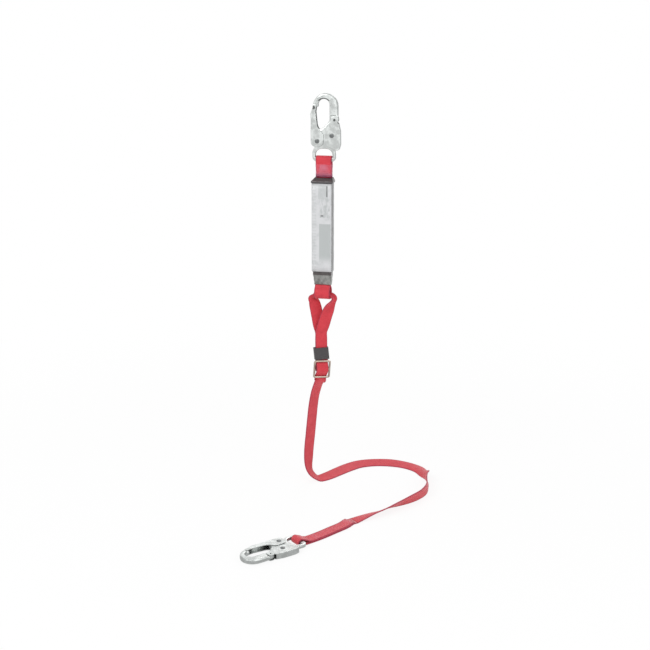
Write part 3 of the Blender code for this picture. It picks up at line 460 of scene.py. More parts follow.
def webbing(name, path, across, width, finish, cups=None):
    """A strip of webbing along path, closed at both ends, with a map of metres across and along."""
    section = web_section(width)
    cups = cups or [0.0] * len(path)
    lengths = reached(path)
    work = bmesh.new()
    lay = work.loops.layers.uv.new("lay")
    rings = []
    for i, (point, side, cup) in enumerate(zip(path, across, cups)):
        ahead = heading(path, i)
        side = (side - ahead * side.dot(ahead)).normalized()
        normal = side.cross(ahead)
        ring = []
        for x, z in section:
            if abs(cup) > FLAT_CUP:
                radius = width / cup
                turn = x / radius
                out = side * sin(turn) - normal * cos(turn)
                place = point + normal * radius + out * (radius - z)
            else:
                place = point + side * x + normal * z
            ring.append(work.verts.new(place))
        rings.append(ring)
    count = len(section)
    for i, (ring, following) in enumerate(zip(rings, rings[1:])):
        for k in range(count):
            j = (k + 1) % count
            face = work.faces.new((ring[k], ring[j], following[j], following[k]))
            face.smooth = True
            for loop, at, s in zip(face.loops, (k, j, j, k), (i, i, i + 1, i + 1)):
                loop[lay].uv = (section[at][0], lengths[s])
    for ring, s in ((rings[0], lengths[0]), (rings[-1], lengths[-1])):
        face = work.faces.new(ring)
        for loop, (x, z) in zip(face.loops, section):
            loop[lay].uv = (x, s + z)
    bmesh.ops.recalc_face_normals(work, faces=work.faces)
    return placed(name, work, finish)


def placed(name, work, finish):
    """The object that a bmesh becomes, in the material of that name."""
    mesh = bpy.data.meshes.new(name)
    work.to_mesh(mesh)
    work.free()
    mesh.materials.append(bpy.data.materials[finish])
    obj = bpy.data.objects.new(name, mesh)
    bpy.context.scene.collection.objects.link(obj)
    return obj


def aimed(name, data, place, target):
    """A camera or lamp at place, turned to target."""
    obj = bpy.data.objects.new(name, data)
    bpy.context.scene.collection.objects.link(obj)
    obj.location = place
    obj.rotation_euler = (target - obj.location).to_track_quat("-Z", "Y").to_euler()
    return obj


def fit_webbing(web, node, body):
    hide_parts(node)
    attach(web, body)


def webbing_finish(name, face, web, width):
    """Woven polyester: rows of chevron ribs, with painted shade between the yarns and a darker band
    along each edge.
    """
    finish = Finish(name, sheen_weight=0.25, sheen_roughness=0.4)
    pitch = web.rib
    across, along = finish.lay()
    chevron = abs((across / (2 * pitch)).fraction() - 0.5) * 2
    twill = ((along / pitch + chevron * 0.9) * (2 * pi)).sine() * 0.5 + 0.5
    rows = ((across / pitch) * (2 * pi)).sine() * 0.5 + 0.5
    edge = abs(across).ramp(width * 0.41, width * 0.475)
    height = twill * 0.55 + rows * 0.45
    patches = finish.noise(70, 3)
    # Painted shade: the low places of the weave take the darker colour
    tone = finish.mix(height * 0.55 + patches * 0.6 - 0.12, web.valley_shade, face)
    finish.set(base_color=finish.mix(edge * 0.75, tone, web.edge), roughness=0.72 - height * 0.14)
    finish.bump(height + finish.noise(900, 2) * 0.3, 0.00025, 0.8)


def thread_finish(name, tint):
    finish = Finish(name, roughness=0.5, sheen_weight=0.2)
    twist = (finish.noise(2600, 1) - 0.5) * 0.8
    finish.set(base_color=finish.mix(twist + 0.5, [c * 0.7 for c in tint], tint))


def steel_finish(name, tint, roughness, flat=None, painted_shade=()):
    """Zinc plating with dull patches, and painted shade on its rims and at each mark in
    painted_shade.

    The faces square to the axis flat, 0 to 2, keep their full tone.
    """
    finish = Finish(name, metallic=1.0, specular_ior_level=0.5)
    patches = finish.noise(110, 5)
    grain = finish.noise(1400, 2)
    dark = [c * 0.70 for c in tint]
    tone = finish.mix(patches.ramp(0.38, 0.62) * 0.8 + grain * 0.2, dark, tint)
    if flat is not None:
        # Painted shade: faces that turn edge-on to the flat axis, the rims, are darkened
        normal = Signal(finish, finish.node("TexCoord").outputs["Normal"])
        rim = 1 - abs(finish.axes(normal)[flat]).ramp(0.35, 0.90)
        tone = finish.mix(rim * 0.62, tone, [c * 0.30 for c in tint])
    x, y, z = finish.axes(finish.place())
    # Painted shade: dark rings and spots where the hook's joint, hole and crown fall into shadow
    for x0, z0, inner, outer, low in painted_shade:
        reach = (x - x0) * (x - x0) + (z - z0) * (z - z0)
        ring = reach.within(inner * inner, outer * outer) * (z > low)
        tone = finish.mix(ring * 0.85, tone, [c * 0.10 for c in tint])
    finish.set(base_color=tone, roughness=patches * 0.16 + grain * 0.06 + (roughness - 0.1))
    finish.bump(patches * 0.5 + grain * 0.3, 0.00018, 0.5)
    return finish.material


def plastic_finish(name, tint, roughness):
    finish = Finish(name)
    mottle = finish.noise(240, 3)
    finish.set(
        base_color=finish.mix(mottle, [c * 0.75 for c in tint], [min(1, c * 1.3) for c in tint]),
        roughness=mottle * 0.15 + (roughness - 0.08),
    )
    finish.bump(mottle, 0.0003, 0.4)
    return finish.material


def film_finish(name, tint):
    """Clear film, cloudier where it wrinkles, with a painted highlight down its middle and darker
    purple towards its bottom.
    """
    finish = Finish(name, roughness=0.22, coat_weight=0.5, coat_roughness=0.1)
    x, y, z = finish.axes(finish.place())
    # Painted highlight: a paler, less clear band down the middle of the film
    middle = (1 - abs(x + 0.0015).ramp(0.0, 0.0095)) * z.ramp(-0.1500, -0.1340)
    fade = 1 - z.ramp(-0.1300, -0.1252)
    cloud = finish.noise(130, 3, stretch=(1, 1, 0.35)).ramp(0.35, 0.7)
    low = 1 - z.ramp(-0.1530, -0.1400)
    finish.set(base_color=finish.mix(low, tint, [0.30, 0.05, 0.14]))
    finish.set(alpha=(middle * 0.15 + cloud * 0.10 + low * 0.34 + 0.06) * fade)
    finish.bump(cloud, 0.0004, 0.4)


def vinyl_finish(name, tint, band=None):
    """Shrunk vinyl, smoky and glossy; a band is its colour and the heights that it lies between."""
    finish = Finish(name, coat_weight=0.5, coat_roughness=0.15)
    smoke = finish.noise(150, 4, stretch=(1, 1, 0.5))
    tone = finish.mix(smoke.ramp(0.3, 0.7), [c * 0.62 for c in tint], [c * 1.35 for c in tint])
    if band:
        dark, low, high = band
        z = finish.axes(finish.place())[2]
        tone = finish.mix(z.within(low, high) * 0.85, tone, dark)
    finish.set(base_color=tone, roughness=smoke * 0.2 + 0.25)
    finish.bump(smoke, 0.0006, 0.5)


def label_finish(name, pack):
    """Plain tinted panels on the sheet, placed in metres across it and down from its top."""
    finish = Finish(name, roughness=0.34, coat_weight=0.3, coat_roughness=0.15)
    across, along = finish.lay()

    def panel(left, right, top, low):
        return across.within(left, right) * along.within(top, low)

    block = panel(-0.0070, 0.0128, 0.0030, 0.0300)
    lower = panel(-0.0040, 0.0165, 0.0300, 0.0680)
    rule = panel(0.0092, 0.0118, 0.0040, 0.0260)
    spot = panel(-0.0022, 0.0034, 0.0620, 0.0660)
    soft_edges = along.ramp(0.0795, 0.0815) * (1 - along.ramp(0.1440, 0.1640))
    long = across.within(-0.0052, 0.0180) * soft_edges
    rows = ((along / 0.0062).fraction() < 0.42) * across.within(-0.0190, -0.0112)
    smear = finish.noise(260, 4, stretch=(1, 1, 0.45)).ramp(0.40, 0.56)
    tone = finish.mix(block * 0.45 + long, pack.label, pack.panel)
    tone = finish.mix(smear * (lower * 0.8 + block * 0.4) + rows * 0.3, tone, pack.panel)
    tone = finish.mix((rule + spot) * 0.8, tone, pack.mark)
    stain = finish.noise(75, 5).ramp(0.42, 0.72) * 0.5 + 0.08
    finish.set(base_color=finish.mix(stain, tone, pack.panel))
    finish.bump(finish.noise(60, 2), 0.0008, 0.4)


class LANYARD_OT_finishes(bpy.types.Operator):
    """Mixes every finish and puts the metal and moulded ones on the fitted parts"""

    bl_idname = "lanyard.finishes"
    bl_label = "Finishes"

    def execute(self, context):
        web = context.scene.lanyard_webbing
        fit = context.scene.lanyard_fittings
        pack = context.scene.lanyard_pack
        webbing_finish("strap_webbing", web.face, web, web.strap_width)
        # Painted sheen: the free strap and the sewn end take the paler red
        webbing_finish("worn_webbing", web.paler_sheen, web, web.strap_width)
        webbing_finish("pack_webbing", web.face, web, web.pack_width)
        thread_finish("sewing_thread", web.thread)
        thread_finish("dark_thread", web.dark_thread)
        rivets = steel_finish("rivet_steel", fit.rivet, 0.42)
        spring = steel_finish("spring_wire", fit.rivet, 0.36)
        collar_band = (pack.mark, COLLAR_LOW.z, COLLAR_LOW.z + COLLAR_BAND)
        boot_band = (pack.collar, COVER_LOW.z - BOOT_BAND, COVER_LOW.z)
        vinyl_finish("sleeve_vinyl", pack.sleeve)
        vinyl_finish("collar_binding", pack.collar, collar_band)
        vinyl_finish("boot_vinyl", pack.boot, boot_band)
        film_finish("clear_film", pack.film)
        label_finish("label_print", pack)
        parts = {
            "adjuster": steel_finish("adjuster_plating", fit.wire, 0.30),
            "keeper": plastic_finish("keeper_moulding", fit.keeper, 0.55),
        }
        for hook, flat, painted_shade in (("upper", 1, PAINTED_SHADE_SPOTS), ("lower", 2, ())):
            steel = steel_finish(f"{hook}_steel", fit.steel, 0.34, flat, painted_shade)
            for part in ("hook_frame", "gate", "lock_lever"):
                parts[f"{hook}_{part}"] = steel
            for part in ("gate", "lock"):
                parts[f"{hook}_{part}_rivet"] = rivets
                parts[f"{hook}_{part}_spring"] = spring
        for node, material in parts.items():
            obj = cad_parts[node]
            obj.data.materials.clear()
            obj.data.materials.append(material)
            obj.data.shade_smooth()
            obj.data.set_sharp_from_angle(angle=radians(42))
        return {"FINISHED"}


def facing_down(turn, dip):
    """Direction of a strap's width, turned about Z and dipped below level, in degrees."""
    turn, dip = radians(turn), radians(dip)
    return Vector((cos(turn), sin(turn), 0)) * cos(dip) - UP * sin(dip)


def ground_places():
    """Centre points and width directions of the strap on the ground, its right edge down on it."""
    plan = [Vector((x, y, 0)) for x, y, *_ in GROUND_ROUTE]
    points = []
    across = []
    for i, (x, y, lean, curl) in enumerate(GROUND_ROUTE):
        run = heading(plan, i)
        right = Vector((run.y, -run.x, 0))
        turn = radians(lean)
        sag = WEB_THICK / 2 + STRAP_WIDTH * abs(curl) / CURL_PARTS
        height = STRAP_WIDTH / 2 * sin(turn) + sag * abs(cos(turn)) + WEB_GAP
        points.append(Vector((x, y, GROUND_Z + height)))
        across.append(right * cos(turn) - UP * sin(turn))
    return points, across


class LANYARD_OT_strap(bpy.types.Operator):
    """The free strap: it hangs from the adjuster, bends at the ground and runs to the sewn end"""

    bl_idname = "lanyard.strap"
    bl_label = "Free strap"

    def execute(self, context):
        hanging = [Vector((x, y, EXIT.z - STRAP_DROP * share)) for x, y, share, *_ in HANGING_ROUTE]
        sides = [facing_down(turn, dip) for *_, turn, dip in HANGING_ROUTE]
        ground, leaning = ground_places()
        chords = chords_of(hanging + ground)
        path = eased(hanging + ground, chords)
        across = eased(sides + leaning, chords)
        curls = [0.0] * len(hanging) + [curl for *_, curl in GROUND_ROUTE]
        cups = eased(curls, chords)
        strap = webbing("free_strap", path, across, STRAP_WIDTH, "worn_webbing", cups)
        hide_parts("strap_fall", "strap_run")
        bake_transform(strap)
        return {"FINISHED"}


class LANYARD_OT_pack_loop_strap(bpy.types.Operator):
    """The strap's loop through the pack, from the adjuster up and back"""

    bl_idname = "lanyard.pack_loop_strap"
    bl_label = "Strap through the pack's loop"

    def execute(self, context):
        settle = 0.0030
        half = KEEPER_TRAVEL / 2
        foot = FOOT_RISE - TILT_ROOM

        # Straight and sloped, to cross the middle of the tilted keeper's opening at half its travel
        def leg(side):
            made = [ADJUSTER_PLACE @ Vector((0, side, foot + k * settle / 5)) for k in range(2)]
            made.append(FOOT_PLACE @ Vector((0, side, settle)))
            for rise in [half * share for share in (0.0, 0.92, 1.08, 2.0, 3.0)]:
                made.append(KEEPER_PLACE @ Vector((LEG_SLOPE * (half - rise), side, rise)))
            return made

        first, last = leg(LAYER_Y), leg(-LAYER_Y)
        middle = [Vector((x, y, z + CROSSING_Z)) for x, y, z, *_ in LOOP_ROUTE]
        places = [*first, *middle, *reversed(last)]
        chords = chords_of(places)
        *_, turns, curls = zip(*LOOP_ROUTE)
        turned, level = [STRAP_TURN] * len(first), [0.0] * len(first)
        turns = [*turned, *turns, *turned]
        curls = [*level, *curls, *level]
        path = eased(places, chords)
        tilted = [-ADJUSTER_TILT] * 2
        dips = eased([*tilted, *[0.0] * (len(places) - 4), *tilted], chords)
        across = [facing_down(turn, dip) for turn, dip in zip(eased(turns, chords), dips)]
        cups = eased(curls, chords)
        width = STRAP_WIDTH - 2 * WEB_GAP
        strap = webbing("pack_loop_strap", path, across, width, "strap_webbing", cups)
        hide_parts("strap_loop")
        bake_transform(strap)
        return {"FINISHED"}


class LANYARD_OT_weave(bpy.types.Operator):
    """The strap inside the adjuster: woven over the middle bar, and its sewn end round that bar"""

    bl_idname = "lanyard.weave"
    bl_label = "Strap in the adjuster"

    def execute(self, context):
        bars_y = -LAYER_Y - WEB_THICK / 2 - WEB_GAP - BAR_R
        hug = BAR_R + WEB_GAP + WEB_THICK / 2
        wrap = hug + WEB_THICK + WEB_GAP
        bar_gap = ADJUSTER_H / 2 - BAR_R
        lean = degrees(asin((hug + wrap) / bar_gap))
        foot = FOOT_RISE - TILT_ROOM - WEB_GAP
        woven = [
            (-LAYER_Y, foot),
            *arc((bars_y, bar_gap), hug, 0, -lean, 5),
            *arc((bars_y, 0), wrap, 180 - lean, 180 + lean, 14),
            *arc((bars_y, -bar_gap), hug, lean, 0, 5),
            (-LAYER_Y, -HALF_DROP),
        ]
        sewn = [
            (LAYER_Y, foot),
            (LAYER_Y, bar_gap - 0.003),
            *arc((bars_y, 0), hug, -14, -240, 24),
        ]
        for name, node, points, drift in (
            ("adjuster_weave", "strap_weave", woven, -SIDE_SHIFT / (foot + HALF_DROP)),
            ("adjuster_sewn_end", "strap_end", sewn, 0.0),
        ):
            path = [ADJUSTER_PLACE @ Vector((drift * (foot - z), y, z)) for y, z in points]
            side = ADJUSTER_PLACE.to_3x3() @ Vector((1, 0, 0))
            web = webbing(name, path, [side] * len(path), STRAP_WIDTH, "strap_webbing")
            fit_webbing(web, node, "adjuster")
        return {"FINISHED"}


def sewn_plan():
    """The run of the sewn end in plan, from the eye bar to where the strap joins it."""
    bar = Vector((*LOWER_SEAT[:2], 0)) + OUTWARD * EYE_DROP - SIDEWAYS * EYE_SHIFT
    last, before = [Vector((x, y, 0)) for x, y, *_ in reversed(GROUND_ROUTE[-2:])]
    onward = (last - before).normalized()
    between = [bar + Vector((x, y, 0)) for x, y in EYE_ROUTE]
    corners = [bar, bar + OUTWARD * EYE_LEAD, *between, last + onward * EYE_ONWARD, last]
    return eased(corners, chords_of(corners), per=8)


class SewnRun:
    """Finds the place and direction at a length from the eye bar along the sewn end."""

    def __init__(self):
        self.plan = sewn_plan()
        self.lengths = reached(self.plan)
        self.full = self.lengths[-1] - WEB_GAP

    def at(self, length, height, aside=0.0):
        if length <= 0:
            point, run = self.plan[0] + OUTWARD * length, OUTWARD
        else:
            i = max(k for k, start in enumerate(self.lengths[:-1]) if start <= length)
            run = (self.plan[i + 1] - self.plan[i]).normalized()
            point = self.plan[i] + run * (length - self.lengths[i])
        side = Vector((run.y, -run.x, 0))
        return point + side * aside + UP * (GROUND_Z + height), side


class LANYARD_OT_sewn_end(bpy.types.Operator):
    """The padded end on the lower hook: under its eye bar, round it, back and stitched down"""

    bl_idname = "lanyard.sewn_end"
    bl_label = "Sewn end"

    def execute(self, context):
        run = SewnRun()
        fall = LYING_HEIGHT + EYE_LOOP_R - TOP_LAYER
        tail = run.full - EYE_STEP
        steps = 16
        stations = [(run.full, LOW_LAYER)]
        stations += [(tail - (tail - EYE_STEP) * k / steps, LOW_LAYER) for k in range(steps)]
        stations += arc((0, LYING_HEIGHT), EYE_LOOP_R, 270, 60, 22)
        for onward, rise in ((0.34, 0.59), (0.54, 0.21), (0.76, 0.02)):
            stations.append((EYE_LAP * onward, TOP_LAYER + fall * rise))
        stations += [(EYE_LAP + (tail - EYE_LAP) * k / steps, TOP_LAYER) for k in range(steps + 1)]
        path, across = zip(*(run.at(length, height) for length, height in stations))
        pad = webbing("sewn_end", path, across, STRAP_WIDTH, "worn_webbing")
        fit_webbing(pad, "strap_eye", "pack")
        self.seams(run, tail)
        return {"FINISHED"}

    def seams(self, run, tail):
        """Rows of stitches along the lap, and close rows across it at both of its ends."""
        first, last = EYE_LAP + 0.002, tail - 0.003
        long_pitch, close_pitch, apart, half = 0.0036, 0.0030, 0.0022, 0.0105
        light = bmesh.new()
        for aside in (-0.0080, -0.0040, 0.0, 0.0040, 0.0080):
            self.row(light, run, first, last, aside, long_pitch)
        for start in (first, last - 0.009):
            for k in range(5):
                self.across_row(light, run, start + apart * k, half, close_pitch)
        stitched("lap_stitches", light, "sewing_thread")
        dark = bmesh.new()
        for aside in (-0.0112, 0.0112):
            self.row(dark, run, first, last, aside, close_pitch)
        stitched("lap_edge_seams", dark, "dark_thread")

    def row(self, work, run, first, last, aside, pitch):
        for k in range(int((last - first) / pitch)):
            start, side = run.at(first + k * pitch, LAP_TOP, aside)
            end, side = run.at(first + (k + STITCH_SHARE) * pitch, LAP_TOP, aside)
            stitch(work, start, end, UP)

    def across_row(self, work, run, length, half, pitch):
        for k in range(int(2 * half / pitch)):
            start, side = run.at(length, LAP_TOP, -half + k * pitch)
            stitch(work, start, start + side * pitch * STITCH_SHARE, UP)


def stitch(work, start, end, out):
    """One stitch: a short thread that rises from the webbing and sinks into it again."""
    along = (end - start).normalized()
    side = along.cross(out)
    rings = []
    sunk, proud = (-0.6, 0.6), (0.35, 1.0)
    for share, (lift, size) in ((0.0, sunk), (0.2, proud), (0.8, proud), (1.0, sunk)):
        middle = start.lerp(end, share) + out * (STITCH_R * lift)
        spokes = arc((0, 0), STITCH_R * size, 0, 300, 5)
        rings.append([work.verts.new(middle + side * a + out * b) for a, b in spokes])
    for ring, following in zip(rings, rings[1:]):
        for k in range(6):
            work.faces.new((ring[k], ring[k - 1], following[k - 1], following[k])).smooth = True
    for ring in (rings[0], rings[-1]):
        work.faces.new(ring)


def stitched(name, work, thread):
    bmesh.ops.recalc_face_normals(work, faces=work.faces)
    obj = placed(name, work, thread)
    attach(obj, "pack")


def looped(name, node, x, centre_z, radius, throat, end_z):
    """The pack's webbing round a bar: two legs from end_z and a loop beyond centre_z."""
    way = 1 if centre_z > end_z else -1
    lean = degrees(asin((radius - LAYER_Y) / throat))
    tail = abs(centre_z - end_z)
    points = [(-LAYER_Y, -tail), (-LAYER_Y, -throat), *arc((0, 0), radius, 180 + lean, -lean, 28)]
    points += [(LAYER_Y, -throat), (LAYER_Y, -tail)]
    path = [Vector((x, y, centre_z + way * along)) for y, along in points]
    sides = [Vector((1, 0, 0))] * len(path)
    web = webbing(name, path, sides, PACK_WEB_WIDTH, "pack_webbing")
    fit_webbing(web, node, "pack")


class LANYARD_OT_pack(bpy.types.Operator):
    """The absorber pack's webbing: the stub on the hook, the folded core and the loop below"""

    bl_idname = "lanyard.pack"
    bl_label = "Pack webbing"

    def execute(self, context):
        stub = ("stub_webbing", "shackle_webbing", 0, -EYE_DROP, EYE_LOOP_R, 0.0290)
        loop = ("loop_webbing", "pack_lower_loop", PACK_X, PACK_LOOP_Z, PACK_LOOP_R, 0.0150)
        looped(*stub, STUB_LOW.z)
        looped(*loop, PACK_LOOP_HIGH.z)
        self.core()
        self.bartacks()
        return {"FINISHED"}

    def core(self):
        """Tear webbing folded to and fro."""
        folds = 6
        depth = TEAR_HIGH.y - TEAR_LOW.y - WEB_THICK
        pitch = depth / (folds - 1)
        ends = (TEAR_HIGH.z - WEB_THICK / 2 - pitch / 2, TEAR_LOW.z + WEB_THICK / 2 + pitch / 2)
        points = []
        for k in range(folds):
            y = (k - (folds - 1) / 2) * pitch
            start, end = ends if k % 2 == 0 else ends[::-1]
            points += [(y, start), (y, end)]
            if k < folds - 1:
                way = -1 if k % 2 == 0 else 1
                turn = arc((y + pitch / 2, 0), pitch / 2, 180, 0, 6)[1:-1]
                points += [(a, end + way * b) for a, b in turn]
        path = [Vector((PACK_X, y, z)) for y, z in points]
        sides = [Vector((1, 0, 0))] * len(path)
        core = webbing("tear_core", path, sides, PACK_WEB_WIDTH, "pack_webbing")
        fit_webbing(core, "tear_webbing", "pack")

    def bartacks(self):
        """Close stitching through both layers of the stub and of the loop below the pack."""
        work = bmesh.new()
        out_y = LAYER_Y + WEB_THICK / 2
        columns, pitch, drop = 8, 0.0032, 0.0018
        half, thread = pitch * columns / 2, Vector((0.0025, 0, 0))
        for x, top, rows in ((0, -0.1425, 5), (PACK_X, -0.3745, 3)):
            for face in (-1, 1):
                for k in range(rows):
                    for column in range(columns):
                        start = Vector((x - half + pitch * column, face * out_y, top - drop * k))
                        stitch(work, start, start + thread, Vector((0, face, 0)))
        stitched("pack_bartacks", work, "sewing_thread")


def box_section(width, depth, radius):
    """Points and outward directions round a rectangle with rounded corners."""
    made = []
    flats = (int(width / SLEEVE_COLUMN), int(depth / SLEEVE_COLUMN))
    for k, (a, b) in enumerate(((1, -1), (1, 1), (-1, 1), (-1, -1))):
        centre = Vector((a * (width / 2 - radius), b * (depth / 2 - radius)))
        for turn in range(0, 91, 15):
            angle = radians(k * 90 - 90 + turn)
            out = Vector((cos(angle), sin(angle)))
            made.append((centre + out * radius, out))
        run = flats[1 - k % 2]
        way = Vector((-made[-1][1].y, made[-1][1].x))
        length = (depth if k % 2 == 0 else width) - 2 * radius
        corner, out = made[-1]
        made += [(corner + way * (length * (i + 1) / (run + 1)), out) for i in range(run)]
    return made


def soft_sleeve(name, node, slot, finish, wall, crease, stations):
    """A thin tube of soft film through stations (z, width, depth, x), creased inward only."""
    fine = [stations[0]]
    for start, end in zip(stations, stations[1:]):
        count = max(1, round(abs(start[0] - end[0]) / SLEEVE_STEP))
        for k in range(1, count + 1):
            fine.append([a + (b - a) * k / count for a, b in zip(start, end)])
    _, widths, depths, _ = zip(*stations)
    most_w, most_d = max(widths), max(depths)
    radius = min(SLEEVE_CORNER, min(depths) * 0.3)
    shape = box_section(most_w, most_d, radius)
    work = bmesh.new()
    rings = []
    for level, (z, width, depth, x) in enumerate(fine):
        ring = []
        for k, (point, out) in enumerate(shape):
            at = Vector((point.x * width / most_w, point.y * depth / most_d))
            at -= out * crease(at, k, level / (len(fine) - 1), z)
            ring.append(work.verts.new((x + at.x, at.y, z)))
        rings.append(ring)
    for ring, following in zip(rings, rings[1:]):
        for k in range(len(ring)):
            work.faces.new((ring[k - 1], ring[k], following[k], following[k - 1])).smooth = True
    bmesh.ops.recalc_face_normals(work, faces=work.faces)
    obj = placed(name, work, finish)
    shell = obj.modifiers.new("wall", "SOLIDIFY")
    shell.thickness = wall
    shell.offset = -1
    if node:
        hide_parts(node)
    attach(obj, "pack")


def wave(value):
    return 0.5 + 0.5 * sin(value)


class LANYARD_OT_sleeve(bpy.types.Operator):
    """The pack's soft skin: collar, shrunk sleeve, drawn-in boot and the film over the stub"""

    bl_idname = "lanyard.sleeve"
    bl_label = "Pack sleeve"

    def execute(self, context):
        wide, deep = COVER_HIGH.x - COVER_LOW.x, COVER_HIGH.y - COVER_LOW.y
        top, end = COLLAR_LOW.z, COVER_LOW.z
        draw_in, rim = 0.0020, 0.0030
        neck_w, neck_d = PACK_WEB_WIDTH + 0.0040, 2 * (LAYER_Y + WEB_THICK / 2) + 0.0034

        def creases(at, k, share, z):
            return 0.00022 * wave(z * 190 + at.x * 130 + 1.7 * sin(z * 71 + at.y * 200))

        def gathers(at, k, share, z):
            return 0.00060 * (1 - share) * wave(k * 0.9) + 0.00025 * wave(z * 900 + at.x * 160)

        def pleats(at, k, share, z):
            folds = 0.00075 * share * wave(k * 0.72 + 2.2 * sin(z * 160))
            return folds + 0.00050 * wave(z * 620 + at.x * 210) * min(1, 3 * share)

        def wrinkles(at, k, share, z):
            return 0.00018 * wave(z * 700 + at.x * 260)

        cover = [
            (top + rim - WEB_GAP, wide - draw_in, deep - draw_in, PACK_X),
            (top - WEB_GAP, wide, deep, PACK_X),
            (end + rim, wide, deep, PACK_X),
            (end, wide - draw_in / 4, deep - draw_in / 4, PACK_X),
        ]
        collar_w, collar_d = COLLAR_HIGH.x - COLLAR_LOW.x, COLLAR_HIGH.y - COLLAR_LOW.y
        collar = [
            (COLLAR_HIGH.z, neck_w, neck_d + 0.0040, 0.0),
            (top + rim, collar_w, collar_d, PACK_X),
            (top, collar_w, collar_d, PACK_X),
        ]
        boot_w, boot_d = BOOT_HIGH.x - BOOT_LOW.x, BOOT_HIGH.y - BOOT_LOW.y
        boot = [
            (BOOT_HIGH.z, boot_w, boot_d, PACK_X),
            (end - 0.0040, boot_w, boot_d, PACK_X),
            (BOOT_LOW.z, neck_w, neck_d, PACK_X),
        ]
        film = [
            (-0.1248, PACK_WEB_WIDTH + 0.0024, 0.0147, 0.0),
            (-0.1470, PACK_WEB_WIDTH + 0.0016, 0.0070, 0.0),
            (-0.1526, PACK_WEB_WIDTH + 0.0016, 0.0068, 0.0),
        ]
        clear, dark = "clear_vinyl", "dark_binding"
        for piece in (
            ("shrunk_sleeve", "pack_cover", clear, "sleeve_vinyl", 0.0008, creases, cover),
            ("sleeve_collar", "pack_collar", dark, "collar_binding", 0.0008, gathers, collar),
            ("sleeve_boot", "pack_boot", dark, "boot_vinyl", 0.0007, pleats, boot),
            ("stub_film", None, clear, "clear_film", 0.0002, wrinkles, film),
        ):
            soft_sleeve(*piece)
        return {"FINISHED"}


class LANYARD_OT_label(bpy.types.Operator):
    """The label on the sleeve's front, with plain tinted panels and no print"""

    bl_idname = "lanyard.label"
    bl_label = "Label"

    def execute(self, context):
        off, wall, corner, steps = 0.0005, 0.0004, 8, 12
        radius = SLEEVE_CORNER + off
        half_w = (COVER_HIGH.x - COVER_LOW.x) / 2 + off
        half_d = (COVER_HIGH.y - COVER_LOW.y) / 2 + off
        left = arc((-half_w + radius, -half_d + radius), radius, 195, 270, corner)
        right = arc((half_w - radius, -half_d + radius), radius, 270, 315, 5)
        outline = [Vector((PACK_X + x, y, 0)) for x, y in [*left, *right]]
        lengths = reached(outline)
        centre = lengths[corner] + PACK_X - outline[corner].x
        height = LABEL_HIGH.z - LABEL_LOW.z
        work = bmesh.new()
        lay = work.loops.layers.uv.new("lay")
        levels = [LABEL_HIGH.z - height * k / steps for k in range(steps + 1)]
        columns = [[work.verts.new((x, y, z)) for z in levels] for x, y, _ in outline]
        for i, (column, following) in enumerate(zip(columns, columns[1:])):
            for k in range(steps):
                face = work.faces.new((column[k], column[k + 1], following[k + 1], following[k]))
                face.smooth = True
                for loop, at, level in zip(face.loops, (i, i, i + 1, i + 1), (k, k + 1, k + 1, k)):
                    loop[lay].uv = (lengths[at] - centre, height * level / steps)
        sheet = placed("label", work, "label_print")
        shell = sheet.modifiers.new("thickness", "SOLIDIFY")
        shell.thickness = wall
        shell.offset = 0
        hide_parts("label_sheet")
        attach(sheet, "pack")
        return {"FINISHED"}


OPERATORS = [
    LANYARD_OT_finishes,
    LANYARD_OT_strap,
    LANYARD_OT_pack_loop_strap,
    LANYARD_OT_weave,
    LANYARD_OT_sewn_end,
    LANYARD_OT_pack,
    LANYARD_OT_sleeve,
    LANYARD_OT_label,
]


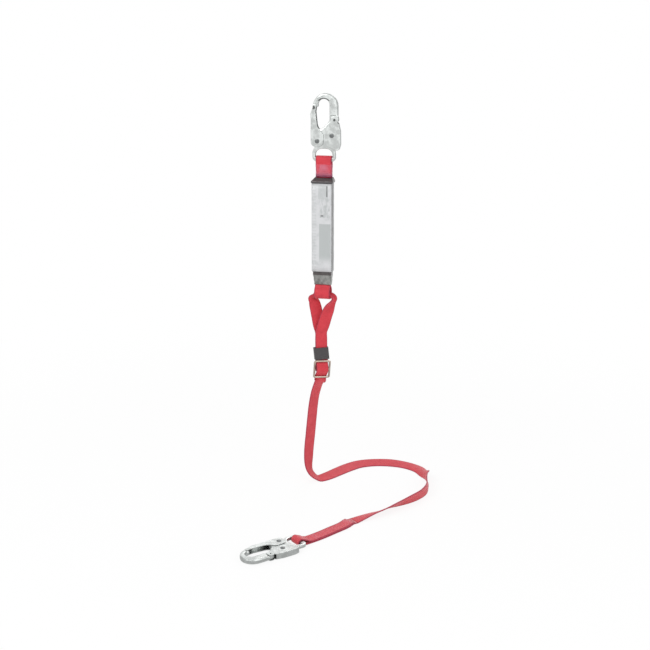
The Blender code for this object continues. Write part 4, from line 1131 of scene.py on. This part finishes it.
class LANYARD_OT_studio(bpy.types.Operator):
    """Camera at the photographed angle, soft lights, pale floor and white surroundings"""

    bl_idname = "lanyard.studio"
    bl_label = "Studio"

    def execute(self, context):
        studio = context.scene.lanyard_studio
        self.camera(context, studio)
        self.floor(studio)
        self.lights()
        self.surroundings(context)
        context.scene.view_settings.view_transform = "Standard"
        return {"FINISHED"}

    def camera(self, context, studio):
        turn = radians(studio.azimuth)
        right = Vector((cos(turn), sin(turn), 0))
        back = Vector((sin(turn), -cos(turn), 0))
        data = bpy.data.cameras.new("studio_camera")
        data.angle = studio.view
        data.clip_end = 30
        place = right * studio.side + back * studio.distance + UP * studio.height
        target = right * studio.side + UP * studio.aim
        context.scene.camera = aimed("studio_camera", data, place, target)

    def floor(self, studio):
        work = bmesh.new()
        bmesh.ops.create_circle(work, cap_ends=True, segments=64, radius=6)
        finish = Finish("studio_floor", base_color=studio.backdrop, roughness=0.9)
        finish.set(specular_ior_level=0.1)
        glow = finish.node("Emission", inputs={"Color": studio.backdrop, "Strength": 1.0})
        rays = finish.node("LightPath").outputs
        camera, glossy, through = [Signal(finish, rays[ray]) for ray in SEEN_RAYS]
        seen = camera + glossy + through
        away = finish.node("VectorMath", {"operation": "LENGTH"}, {0: finish.place()})
        seen = seen * (Signal(finish, away.outputs["Value"]).ramp(0.35, 1.4) * 0.12 + 0.88)
        blend = finish.node("MixShader", inputs={0: seen})
        link = finish.tree.links.new
        link(finish.shader.outputs[0], blend.inputs[1])
        link(glow.outputs[0], blend.inputs[2])
        link(blend.outputs[0], finish.tree.nodes["Material Output"].inputs[0])
        floor = placed("studio_floor", work, "studio_floor")
        floor.location.z = GROUND_Z

    def lights(self):
        for name, place, power in (
            ("key_softbox", (-1.3, -2.0, 1.5), 34),
            ("fill_softbox", (1.9, -1.6, 0.6), 15),
            ("back_softbox", (0.3, 2.2, 1.4), 16),
        ):
            data = bpy.data.lights.new(name, "AREA")
            data.size = 1.6
            data.energy = power
            aimed(name, data, place, Vector((0, 0, -0.4)))

    def surroundings(self, context):
        world = bpy.data.worlds.new("studio_white")
        world.use_nodes = True
        tree = world.node_tree
        tree.nodes.clear()
        new, link = tree.nodes.new, tree.links.new
        rays = new("ShaderNodeLightPath")
        blend = new("ShaderNodeMixShader")
        for socket, strength in ((1, 0.55), (2, 1.0)):
            background = new("ShaderNodeBackground")
            background.inputs["Color"].default_value = (1, 1, 1, 1)
            background.inputs["Strength"].default_value = strength
            link(background.outputs[0], blend.inputs[socket])
        out = new("ShaderNodeOutputWorld")
        total = rays.outputs[SEEN_RAYS[0]]
        for ray in SEEN_RAYS[1:]:
            seen = new("ShaderNodeMath")
            seen.operation = "ADD"
            seen.use_clamp = True
            link(total, seen.inputs[0])
            link(rays.outputs[ray], seen.inputs[1])
            total = seen.outputs[0]
        link(total, blend.inputs[0])
        link(blend.outputs[0], out.inputs[0])
        context.scene.world = world


class LANYARD_PT_panel(bpy.types.Panel):
    """Lists the lanyard's pieces and the studio"""

    bl_label = "Lanyard"
    bl_space_type = "VIEW_3D"
    bl_region_type = "UI"
    bl_category = "Lanyard"

    def draw(self, context):
        for operator in (*OPERATORS, LANYARD_OT_studio):
            self.layout.operator(operator.bl_idname)


SETTINGS = {
    "lanyard_webbing": WebbingSettings,
    "lanyard_pack": PackSettings,
    "lanyard_fittings": FittingSettings,
    "lanyard_studio": StudioSettings,
}
CLASSES = (*SETTINGS.values(), *OPERATORS, LANYARD_OT_studio, LANYARD_PT_panel)


def register():
    for each in CLASSES:
        bpy.utils.register_class(each)
    for name, settings in SETTINGS.items():
        setattr(bpy.types.Scene, name, bpy.props.PointerProperty(type=settings))


def unregister():
    for name in SETTINGS:
        delattr(bpy.types.Scene, name)
    for each in reversed(CLASSES):
        bpy.utils.unregister_class(each)


def main():
    register()
    bpy.ops.lanyard.studio()
    for operator in OPERATORS:
        group, call = operator.bl_idname.split(".")
        getattr(getattr(bpy.ops, group), call)()


if __name__ == "__main__":
    main()
